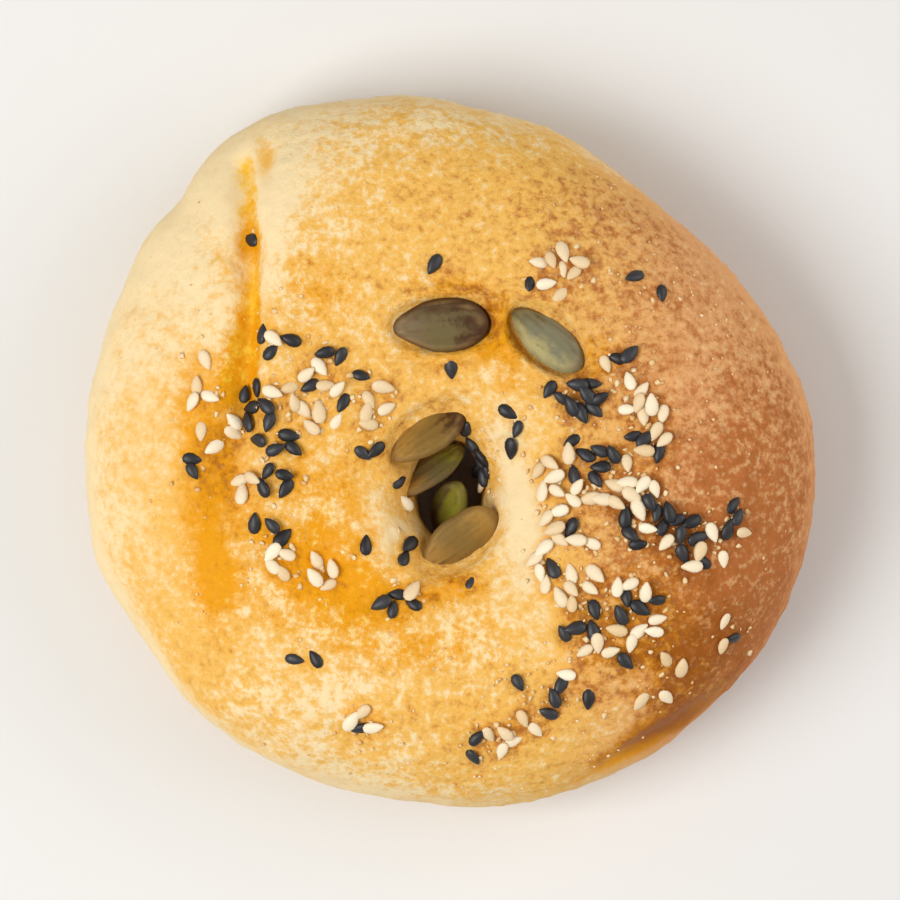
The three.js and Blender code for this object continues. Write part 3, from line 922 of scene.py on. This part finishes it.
# How far the edges of the patches and of the heights wander, and size and shift of the waves
WANDER = 1.5
WANDER_SIZE = 5.5
WANDER_SHIFT = 31.7
HEIGHT_WANDER_SIZE = 7
HEIGHT_WANDER_SHIFT = 5.1

# Slow browning of crown, rim and waist, from 0, pale, to about 1, brown: level at the middle, rise for each
# millimetre to the right, and what the right side adds
CROWN_TONE = Tone(0.49, 0.0078, 0.10)
RIM_TONE = Tone(0.24, 0.0035, 0.42)
WAIST_TONE = Tone(0.18, 0.0045, 0.15)
CROWN_RIGHT = (8, 42)
SIDE_RIGHT = (20, 48)

# Where the rim's tone takes over, and how its right side pales towards +Y, browns towards -Y, and is smoother
RIM_ACROSS = (0.84, 1.0)
RIM_SHARE = 0.7
RIM_PALES = (0, 25)
RIM_PALER = 0.4
RIM_BROWNS = (-5, 20)
RIM_BROWNER = 0.35
RIM_SMOOTHER = 0.7
SMOOTHEST = 0.9

# Heights of the lip, over which amber and the rim's patches fade out, of the pale waist, and of the base
LIP_HEIGHTS = (13, 22)
WAIST_HEIGHT = 14
WAIST_SPREAD = 7.5
WAIST_ACROSS = (0.0, 0.5)
WAIST_SHARE = 0.8
WAIST_LESS_RIGHT = 0.4
BASE_HEIGHTS = (0.5, 7)
BASE_TONE = 0.5
BASE_BROWNER = 0.3
BASE_MIDDLE = (0.2, 0.6)
BASE_GRAIN = 0.5

# The strip on the seam's flap, amber crust with painted shade that deepens towards the crease and stops
# sharply at it: how far it reaches low down and high up, its edges, and how uneven it is
STRIP_LOW_REACH = -7.0
STRIP_HIGH_REACH = -3.6
STRIP_NARROWS = (14, 40)
STRIP_INNER_EDGE = 0.4
STRIP_OUTER_EDGE = (0.7, 1.7)
STRIP_UNEVEN = 0.2
STRIP_UNEVEN_SIZE = 5
STRIP_UNEVEN_SHIFT = 11.3

# How amber the strip is low down and high up, its pale tone high up, and the sleek skin beside it there
STRIP_LOW_FROM = (10, 18)
STRIP_LOW_TO = (20, 34)
STRIP_LOW_AMBER = 1.1
STRIP_HIGH_FROM = (16, 28)
STRIP_HIGH_AMBER = 0.8
STRIP_TONE = 0.18
STRIP_SHARE = 0.8
SLEEK_SHARE = 0.7
SLEEK_SPREAD = 4

# Amber of the creases, browned crust with painted shade in them, the most that counts, and the power by which
# it fades at the lip
INNER_CREASE_AMBER = 0.5
EDGE_CREASE_AMBER = 1.3
AMBER_MOST = 1.6
AMBER_FADE = 3

# Painted shadow of each sesame seed on the crust, with some real toasting: browner, amber crust round the
# seed, a little towards +X and -Y of it, where its shadow falls
SEED_SHADE_RIGHT = 0.4
SEED_SHADE_DOWN = 0.2
SEED_SHADE_SPREAD = 1.9
SEED_SHADE_AMBER = 0.4
SEED_SHADE_BAKE = 0.32


def tone_at(tone, x, right):
    """Browning that changes slowly from left to right."""
    return tone.level + tone.slope * x + tone.right * right


def seed_shade_and_toast(x, y, seeds):
    """How much painted shadow of the sesame seeds, with some real toasting, lies on the crust round them."""
    near = 0.0
    for seed in seeds:
        near = near + bell(np.hypot(x - seed.x - SEED_SHADE_RIGHT, y - seed.y + SEED_SHADE_DOWN), SEED_SHADE_SPREAD)
    return 1 - np.exp(-near)


def beside_the_seam(dough, points, y):
    """How strong the strip beside the seam is, amber crust with painted shade of the crease, and how sleek
    the skin along it.
    """
    aside = dough.beside_seam(points[:, 0], points[:, 1])
    reach = lerp(STRIP_LOW_REACH, STRIP_HIGH_REACH, smooth(y, *STRIP_NARROWS))
    strip = smooth(aside, reach, STRIP_INNER_EDGE) * (1 - smooth(aside, *STRIP_OUTER_EDGE))
    uneven = 1 + STRIP_UNEVEN * noise_at(points, STRIP_UNEVEN_SIZE, STRIP_UNEVEN_SHIFT)
    strength = dough.seam_strength(y)
    return strip * strength * uneven, SLEEK_SHARE * bell(aside, SLEEK_SPREAD) * strength


def crust_fields(dough, points, angle, across, seeds):
    """How baked, how amber and how grainy the crust is at its points, with painted shade and highlights laid
    into the baking and the amber.
    """
    plan_x, plan_y, true_height = points.T
    x = plan_x + WANDER * noise_at(points, WANDER_SIZE)
    y = plan_y + WANDER * noise_at(points, WANDER_SIZE, WANDER_SHIFT)
    height = true_height + noise_at(points, HEIGHT_WANDER_SIZE, HEIGHT_WANDER_SHIFT)
    rim = smooth(across, *RIM_ACROSS)
    right = smooth(x, *SIDE_RIGHT)
    lip = smooth(height, *LIP_HEIGHTS)
    waist = bell(height - WAIST_HEIGHT, WAIST_SPREAD) * smooth(across, *WAIST_ACROSS)
    base = 1 - smooth(height, *BASE_HEIGHTS)
    # Painted shadow of the sesame seeds, with some real toasting
    shade_and_toast = seed_shade_and_toast(plan_x, plan_y, seeds)
    strip, sleek = beside_the_seam(dough, points, y)
    low = smooth(y, *STRIP_LOW_FROM) * (1 - smooth(y, *STRIP_LOW_TO))
    high = smooth(y, *STRIP_HIGH_FROM)

    # Bake patches hold painted light too: shade round the first pumpkin seed's pocket and a highlight on the
    # lip beside the seam
    bake = tone_at(CROWN_TONE, x, smooth(x, *CROWN_RIGHT)) + patches_at(BAKE_PATCHES, x, y)
    change = RIM_BROWNER * smooth(-y, *RIM_BROWNS) - RIM_PALER * smooth(y, *RIM_PALES)
    bake = lerp(bake, tone_at(RIM_TONE, x, right) + right * change, RIM_SHARE * rim)
    # Rim patches hold the painted shadow of the crescent under the crust's edge, with browned crust
    bake = bake + lip * patches_at(RIM_PATCHES, plan_x, plan_y)
    # The strip beside the seam turns paler high up, and the sesame seeds' painted shadow, with some real
    # toasting, makes the crust browner
    bake = lerp(bake, STRIP_TONE, STRIP_SHARE * np.minimum(1, strip) * high) + SEED_SHADE_BAKE * shade_and_toast
    bake = lerp(bake, tone_at(WAIST_TONE, x, right), (WAIST_SHARE - WAIST_LESS_RIGHT * right) * waist)
    bake = lerp(bake, BASE_TONE + BASE_BROWNER * smooth(1 - np.abs(across), *BASE_MIDDLE), base)

    # Amber takes the sesame seeds' painted shadow too, with some real toasting, and patches of painted shadow
    # beside the pumpkin seeds
    amber = patches_at(AMBER_PATCHES, x, y) + SEED_SHADE_AMBER * shade_and_toast
    # The strip beside the seam: amber crust with painted shade of the crease
    amber = amber + strip * (STRIP_LOW_AMBER * low + STRIP_HIGH_AMBER * high)
    # Painted shade in the creases, with browned crust: round the lower left of the hole and under the crust's
    # edge
    amber = amber + INNER_CREASE_AMBER * dough.inner_crease(x, y)
    amber = amber + EDGE_CREASE_AMBER * dough.edge_crease(angle, across, true_height)
    amber = np.minimum(AMBER_MOST, amber) * lip**AMBER_FADE

    smoothed = patches_at(SMOOTH_PATCHES, x, y) + RIM_SMOOTHER * rim + sleek * high
    grainy = 1 - np.clip(smoothed, 0, SMOOTHEST)
    return bake, amber, lerp(grainy, BASE_GRAIN, base)


# Fine relief of the crust: rise and size of its waves, and the blisters in some of its cells
RELIEF_WAVES = ((0.5, 11), (0.24, 4.5), (0.11, 1.9))
BLISTER_CELL = 2.6
BLISTER_RADIUS = 0.45
BLISTER_RISE = 0.2
BLISTER_DRAW = 7.3
BLISTERED_ABOVE = 0.3


def fine_relief(points):
    """Unevenness of the crust in millimetres: slow waves, ripples and small blisters."""
    waves = sum(rise * noise_at(points, size) for rise, size in RELIEF_WAVES)
    blisters = []
    for place in (points / BLISTER_CELL).tolist():
        distances, centres = noise.voronoi(place)
        raised = noise.cell(centres[0] * BLISTER_DRAW) > BLISTERED_ABOVE
        blisters.append(max(0, 1 - (distances[0] / BLISTER_RADIUS) ** 2) if raised else 0)
    return waves + BLISTER_RISE * np.array(blisters)


# Pockets of the pumpkin seeds and the low collars round them, as shares of a seed's outline and of its press
POCKET_EDGE = (0.92, 1.14)
COLLAR_AT = 1.34
COLLAR_SPREAD = 0.18
COLLAR_RISE = 0.45


def pressed(points, pumpkin):
    """Height that the pockets of the pumpkin seeds take off the top, with a low collar round them."""
    length, width = pumpkin.length / MM, pumpkin.width / MM
    depth = 0.0
    for kernel in KERNELS:
        reach = kernel_reach(kernel, points[:, 0], points[:, 1], length * kernel.size, width * kernel.size)
        pocket = 1 - smooth(reach, *POCKET_EDGE)
        collar = bell(reach - COLLAR_AT, COLLAR_SPREAD)
        depth = depth + kernel.press * (pocket - COLLAR_RISE * collar)
    return depth


class BAGEL_OT_crust(Operator):
    """Make the dough ring with its crust"""

    bl_idname = "bagel.crust"
    bl_label = "Crust"

    # Steps crowd on the seam's side and on top. Fine relief sets in above the flat underside, and pockets
    # where the section is fuller
    ring_radius = 2
    side_crowding = 0.3
    crowded_side = 145
    top_crowding = 0.45
    relief_heights = (0, 1)
    pocket_fullness = (0.3, 0.7)

    def execute(self, context):
        look = context.scene.bagel_crust
        dough = Dough(look)
        bm = self.even_ring(look)
        angle, across, on_top = self.crowded(bm)
        points = dough.points(angle, across, on_top)
        seeds = sesame_seeds(dough, context.scene.bagel_sesame, context.scene.bagel_pumpkin)
        self.store(bm, crust_fields(dough, points, angle, across, seeds))
        self.move(bm, points)
        bmesh.ops.recalc_face_normals(bm, faces=bm.faces)
        bm.normal_update()
        normals = np.array([vert.normal[:] for vert in bm.verts])
        rise = smooth(points[:, 2], *self.relief_heights) * fine_relief(points)
        points = points + normals * rise[:, None]
        share = np.where(on_top, smooth(dough.fullness(across), *self.pocket_fullness), 0)
        points[:, 2] -= share * pressed(points, context.scene.bagel_pumpkin)
        self.move(bm, points)
        piece = place_piece("crust", bm, crust_finish(look))
        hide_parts("bagel")
        return {"FINISHED"}

    def even_ring(self, look):
        """A ring with a round section of radius 1, in even steps."""
        bm = bmesh.new()
        upright = Matrix.Translation((self.ring_radius, 0, 0)) @ Matrix.Rotation(math.pi / 2, 4, "X")
        bmesh.ops.create_circle(bm, segments=look.section_steps, radius=1, matrix=upright)
        bmesh.ops.spin(
            bm,
            geom=bm.verts[:] + bm.edges[:],
            cent=(0, 0, 0),
            axis=(0, 0, 1),
            angle=2 * math.pi,
            steps=look.around_steps,
            use_merge=True,
        )
        return bm

    def crowded(self, bm):
        """Where the ring's points go: their direction, how far across the section, and whether on top."""
        even = np.array([vert.co[:] for vert in bm.verts])
        angle = np.arctan2(even[:, 1], even[:, 0])
        turn = np.arctan2(even[:, 2], np.hypot(even[:, 0], even[:, 1]) - self.ring_radius)
        angle = angle - self.side_crowding * np.sin(angle - math.radians(self.crowded_side))
        turn = turn + self.top_crowding * np.cos(turn)
        return angle, np.cos(turn), np.sin(turn) > 0

    @staticmethod
    def store(bm, fields):
        for name, values in zip(CRUST_FIELDS, fields):
            layer = bm.verts.layers.float.new(name)
            for vert, value in zip(bm.verts, values.tolist()):
                vert[layer] = value

    @staticmethod
    def move(bm, points):
        for vert, place in zip(bm.verts, points.tolist()):
            vert.co = place


def add_almond(bm, size, taper, point, segments):
    """Adds a flat almond with its tip towards +X and returns its vertices with their unit places."""
    upright = Matrix.Rotation(math.pi / 2, 4, "Y")
    around, along = segments
    made = bmesh.ops.create_uvsphere(bm, u_segments=around, v_segments=along, radius=1, matrix=upright)
    shaped = []
    for vert in made["verts"]:
        unit = vert.co.copy()
        slim = (1 - taper * unit.x) * (1 - point * smooth(unit.x, POINT_FROM, 1.0))
        vert.co = Vector((unit.x * size[0] / 2, unit.y * slim * size[1] / 2, unit.z * size[2] / 2))
        shaped.append((vert, unit))
    return shaped


def lying(normal, heading):
    """Turn that lays a seed on a slope, its tip along a heading."""
    along = Vector((math.cos(heading), math.sin(heading), 0))
    along = (along - normal * along.dot(normal)).normalized()
    aside = normal.cross(along)
    return Matrix((along, aside, normal)).transposed().to_4x4()


class BAGEL_OT_sesame(Operator):
    """Make the black and the pale sesame, each colour as one piece"""

    bl_idname = "bagel.sesame"
    bl_label = "Sesame"

    # Faces around and along a seed, the ranges of its roll and pitch in radians, and how much higher it lies
    facets = (8, 6)
    tilts = (0.5, 0.4)
    lift = 0.1

    def execute(self, context):
        look = context.scene.bagel_sesame
        dough = Dough(context.scene.bagel_crust)
        seeds = sesame_seeds(dough, look, context.scene.bagel_pumpkin)
        black = speckled_finish("black_sesame_skin", look.black_dark, look.black_light, BLACK_SPECKLE)
        pale = speckled_finish("pale_sesame_skin", look.pale_dark, look.pale_light, PALE_SPECKLE)
        self.make("black_sesame", [s for s in seeds if s.is_black], dough, look, black)
        self.make("pale_sesame", [s for s in seeds if not s.is_black], dough, look, pale)
        return {"FINISHED"}

    def make(self, name, seeds, dough, look, material):
        bm = bmesh.new()
        tone_layer = bm.verts.layers.float.new("tone")
        draws = draws_from(DRAW_SEED + len(seeds))
        for seed in seeds:
            normal = (dough.top_normal(seed.x, seed.y) + Vector((0, 0, seed.prop))).normalized()
            roll, pitch = [(next(draws) - 0.5) * tilt for tilt in self.tilts]
            tilted = Euler((roll, pitch, 0)).to_matrix().to_4x4()
            rise = SESAME_RISE + PILE_RISE * min(PILE_MOST, seed.near) + self.lift * next(draws)
            base = Vector((seed.x, seed.y, dough.top_height(seed.x, seed.y))) + normal * rise
            turn = Matrix.Translation(base) @ lying(normal, seed.heading) @ tilted
            size = [seed.size * s / MM for s in (look.length, look.width, look.thickness)]
            tone = next(draws)
            for vert, _unit in add_almond(bm, size, SESAME_TAPER, SESAME_POINT, self.facets):
                vert.co = turn @ vert.co
                vert[tone_layer] = tone
        bmesh.ops.recalc_face_normals(bm, faces=bm.faces)
        place_piece(name, bm, material)


class BAGEL_OT_pumpkin_seeds(Operator):
    """Make the pumpkin seeds, each as its own piece"""

    bl_idname = "bagel.pumpkin_seeds"
    bl_label = "Pumpkin seeds"

    # Faces around and along a seed, and noise along it, across it and from seed to seed, which streaks the
    # face and bends the outline
    facets = (64, 40)
    streak_noise = (1.1, 5, 3.7)
    streak_rise = 0.1
    bend_noise = (1.6, 0.8, 5.3)
    bend = 0.09

    # Where the rim, its ridge, the groove inside it and the dished middle lie, as shares of the outline
    rim = (0.6, 1.0)
    ridge_at = 0.84
    ridge_spread = 0.08
    ridge_rise = 0.09
    groove_at = 0.68
    groove_spread = 0.1
    groove_depth = 0.08
    dish_spread = 0.5
    dish_depth = 0.14

    def execute(self, context):
        look = context.scene.bagel_pumpkin
        for number, (kernel, skin) in enumerate(zip(KERNELS, SKINS), start=1):
            bm = self.seed(look, number, kernel, skin)
            colours = [getattr(look, name) for name in (skin.tip, skin.middle, skin.blunt, skin.flank)]
            finish = kernel_finish(f"pumpkin_skin_{number}", *colours, look.edge, look.ridge)
            piece = place_piece(f"pepita_{number}", bm, finish)
            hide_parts(f"pumpkin_seed_{number}")
        return {"FINISHED"}

    def seed(self, look, number, kernel, skin):
        """One pumpkin seed in its place."""
        bm = bmesh.new()
        layers = [bm.verts.layers.float.new(field) for field in KERNEL_FIELDS]
        size = [kernel.size * s / MM for s in (look.length, look.width, look.thickness)]
        angles = (math.radians(kernel.roll), math.radians(kernel.dip), math.radians(kernel.heading))
        place = Matrix.Translation((kernel.x, kernel.y, kernel.z)) @ Euler(angles).to_matrix().to_4x4()
        for vert, unit in add_almond(bm, size, KERNEL_TAPER, KERNEL_POINT, self.facets):
            flat = math.hypot(unit.x, unit.y)
            streak = self.noise_on(unit, number, self.streak_noise)
            ridge = bell(flat - self.ridge_at, self.ridge_spread)
            looks = (unit.x, skin.side * unit.y, smooth(flat, *self.rim), ridge, 0.5 + 0.5 * streak)
            for layer, value in zip(layers, looks):
                vert[layer] = value
            groove = bell(flat - self.groove_at, self.groove_spread)
            bead = self.ridge_rise * ridge - self.groove_depth * groove
            dish = self.dish_depth * bell(flat, self.dish_spread)
            vert.co.y *= 1 + self.bend * self.noise_on(unit, number, self.bend_noise)
            vert.co.z *= 1 - dish + bead + self.streak_rise * streak
            vert.co = place @ vert.co
        bmesh.ops.recalc_face_normals(bm, faces=bm.faces)
        return bm

    @staticmethod
    def noise_on(unit, number, scale):
        return noise.noise(Vector((unit.x * scale[0], unit.y * scale[1], number * scale[2])))


class BAGEL_OT_flour(Operator):
    """Make the grains of semolina that stick to the crust, and the crumbs among the sesame"""

    bl_idname = "bagel.flour"
    bl_label = "Grains"

    # Where grains lie: as a share of the way from throat to rim, and in a leaning band across the top
    inmost = 0.2
    span = 0.76
    band_lean = 0.4
    band_begins = (-10, 25)
    band_ends = (25, 45)
    outside_band = 0.15

    # How far crumbs lie from a sesame seed, and how far everything keeps from the pumpkin seeds
    crumb_nearest = 1.2
    crumb_spread = 2.6
    clear_by = 1

    # Shape of a grain, in shares: least and spread of its size and of its width, then flatness, rise and
    # unevenness
    sizes = (0.55, 0.9)
    widths = (0.55, 0.4)
    flatness = 0.4
    rise = 0.15
    unevenness = 0.3

    def execute(self, context):
        look = context.scene.bagel_flour
        pumpkin = context.scene.bagel_pumpkin
        self.dough = Dough(context.scene.bagel_crust)
        self.clear = (pumpkin.length / MM + self.clear_by, pumpkin.width / MM + self.clear_by)
        self.draws = draws_from(DRAW_SEED + look.count)
        self.bm = bmesh.new()
        self.tone = self.bm.verts.layers.float.new("tone")
        self.semolina(look)
        self.crumbs(look, sesame_seeds(self.dough, context.scene.bagel_sesame, pumpkin))
        finish = speckled_finish("semolina", look.dark, look.light, GRAIN_SPECKLE)
        place_piece("semolina_grains", self.bm, finish)
        return {"FINISHED"}

    def semolina(self, look):
        placed = 0
        while placed < look.count:
            angle = 2 * math.pi * next(self.draws)
            share = self.inmost + self.span * math.sqrt(next(self.draws))
            radius = lerp(self.dough.throat_radius(angle), self.dough.rim_radius(angle), share)
            x, y = radius * math.cos(angle), radius * math.sin(angle)
            band = x - self.band_lean * y
            inside = smooth(band, *self.band_begins) * (1 - smooth(band, *self.band_ends))
            wanted = lerp(self.outside_band, 1, inside)
            if next(self.draws) < wanted and self.add_grain(x, y, look.size / MM):
                placed += 1

    def crumbs(self, look, seeds):
        for seed in seeds:
            for _crumb in range(look.crumbs):
                away = self.crumb_nearest + self.crumb_spread * next(self.draws)
                way = 2 * math.pi * next(self.draws)
                x, y = seed.x + away * math.cos(way), seed.y + away * math.sin(way)
                if math.hypot(x, y) > self.dough.throat_radius(math.atan2(y, x)) + THROAT_MARGIN:
                    self.add_grain(x, y, look.crumb_size / MM)

    def drawn(self, least, spread):
        return least + spread * next(self.draws)

    def add_grain(self, x, y, mean_size):
        """Adds a grain at a place in plan, unless a pumpkin seed lies there."""
        if any(kernel_reach(kernel, x, y, *self.clear) < 1 for kernel in KERNELS):
            return False
        normal = self.dough.top_normal(x, y)
        size = mean_size * self.drawn(*self.sizes)
        stretch = Matrix.Diagonal((size, size * self.drawn(*self.widths), size * self.flatness, 1))
        base = Vector((x, y, self.dough.top_height(x, y))) + normal * self.rise * mean_size
        turn = Matrix.Translation(base) @ lying(normal, 2 * math.pi * next(self.draws)) @ stretch
        made = bmesh.ops.create_icosphere(self.bm, subdivisions=1, radius=0.5, matrix=turn)
        tone = next(self.draws)
        for vert in made["verts"]:
            vert[self.tone] = tone
            shift = Vector([next(self.draws) - 0.5 for _axis in range(3)])
            vert.co += shift * self.unevenness * size
        return True


class BAGEL_OT_stage(Operator):
    """Make the floor, the lights and the camera"""

    bl_idname = "bagel.stage"
    bl_label = "Stage"

    # Reach of the floor, places and sizes of the lights, all in metres, and the colour of the even light
    floor_reach = 3
    floor_steps = 8
    key_place = (-0.5, -0.16, 0.75)
    key_size = 0.5
    fill_place = (0.75, 0.18, 0.5)
    fill_size = 0.8
    sky_colour = (1.0, 0.98, 0.95)

    def execute(self, context):
        look = context.scene.bagel_stage
        self.floor(look)
        self.light("key", look.key, self.key_place, self.key_size)
        self.light("fill", look.fill, self.fill_place, self.fill_size)
        self.sky(look)
        self.camera(context, look)
        context.scene.view_settings.view_transform = "Standard"
        return {"FINISHED"}

    def floor(self, look):
        bm = bmesh.new()
        steps = self.floor_steps
        bmesh.ops.create_grid(bm, x_segments=steps, y_segments=steps, size=self.floor_reach)
        mesh = bpy.data.meshes.new("floor")
        bm.to_mesh(mesh)
        bm.free()
        mesh.materials.append(floor_finish(look.floor))
        floor = bpy.data.objects.new("floor", mesh)
        bpy.context.scene.collection.objects.link(floor)

    def light(self, name, power, place, size):
        lamp = bpy.data.lights.new(name, "AREA")
        lamp.energy = power
        lamp.size = size
        light = bpy.data.objects.new(name, lamp)
        light.location = place
        light.rotation_euler = (-Vector(place)).to_track_quat("-Z", "Y").to_euler()
        bpy.context.scene.collection.objects.link(light)

    def sky(self, look):
        world = bpy.data.worlds.new("sky")
        world.use_nodes = True
        background = world.node_tree.nodes["Background"]
        background.inputs["Strength"].default_value = look.sky
        background.inputs["Color"].default_value = opaque(self.sky_colour)
        bpy.context.scene.world = world

    def camera(self, context, look):
        data = bpy.data.cameras.new("camera")
        data.lens = look.lens
        camera = bpy.data.objects.new("camera", data)
        distance = look.view_width * look.lens / data.sensor_width
        low, high = CAD_BOX
        camera.location = (0, 0, (low.z + high.z) / 2 + distance)
        context.scene.collection.objects.link(camera)
        context.scene.camera = camera


class BAGEL_PT_panel(Panel):
    """The bagel's pieces and settings"""

    bl_idname = "BAGEL_PT_panel"
    bl_label = "Seeded bagel"
    bl_space_type = "VIEW_3D"
    bl_region_type = "UI"
    bl_category = "Bagel"

    def draw(self, context):
        for operator, settings in PIECES:
            box = self.layout.box()
            box.operator(operator.bl_idname)
            group = getattr(context.scene, settings)
            for name in group.__annotations__:
                box.prop(group, name)


PIECES = (
    (BAGEL_OT_crust, "bagel_crust"),
    (BAGEL_OT_sesame, "bagel_sesame"),
    (BAGEL_OT_pumpkin_seeds, "bagel_pumpkin"),
    (BAGEL_OT_flour, "bagel_flour"),
    (BAGEL_OT_stage, "bagel_stage"),
)
SETTINGS = {
    "bagel_crust": CrustSettings,
    "bagel_sesame": SesameSettings,
    "bagel_pumpkin": PumpkinSettings,
    "bagel_flour": FlourSettings,
    "bagel_stage": StageSettings,
}


def register():
    for name, group in SETTINGS.items():
        bpy.utils.register_class(group)
        setattr(bpy.types.Scene, name, PointerProperty(type=group))
    for operator, _settings in PIECES:
        bpy.utils.register_class(operator)
    bpy.utils.register_class(BAGEL_PT_panel)


def unregister():
    bpy.utils.unregister_class(BAGEL_PT_panel)
    for operator, _settings in reversed(PIECES):
        bpy.utils.unregister_class(operator)
    for name, group in reversed(SETTINGS.items()):
        delattr(bpy.types.Scene, name)
        bpy.utils.unregister_class(group)


def main():
    register()
    bpy.ops.bagel.crust()
    bpy.ops.bagel.sesame()
    bpy.ops.bagel.pumpkin_seeds()
    bpy.ops.bagel.flour()
    bpy.ops.bagel.stage()


if __name__ == "__main__":
    main()
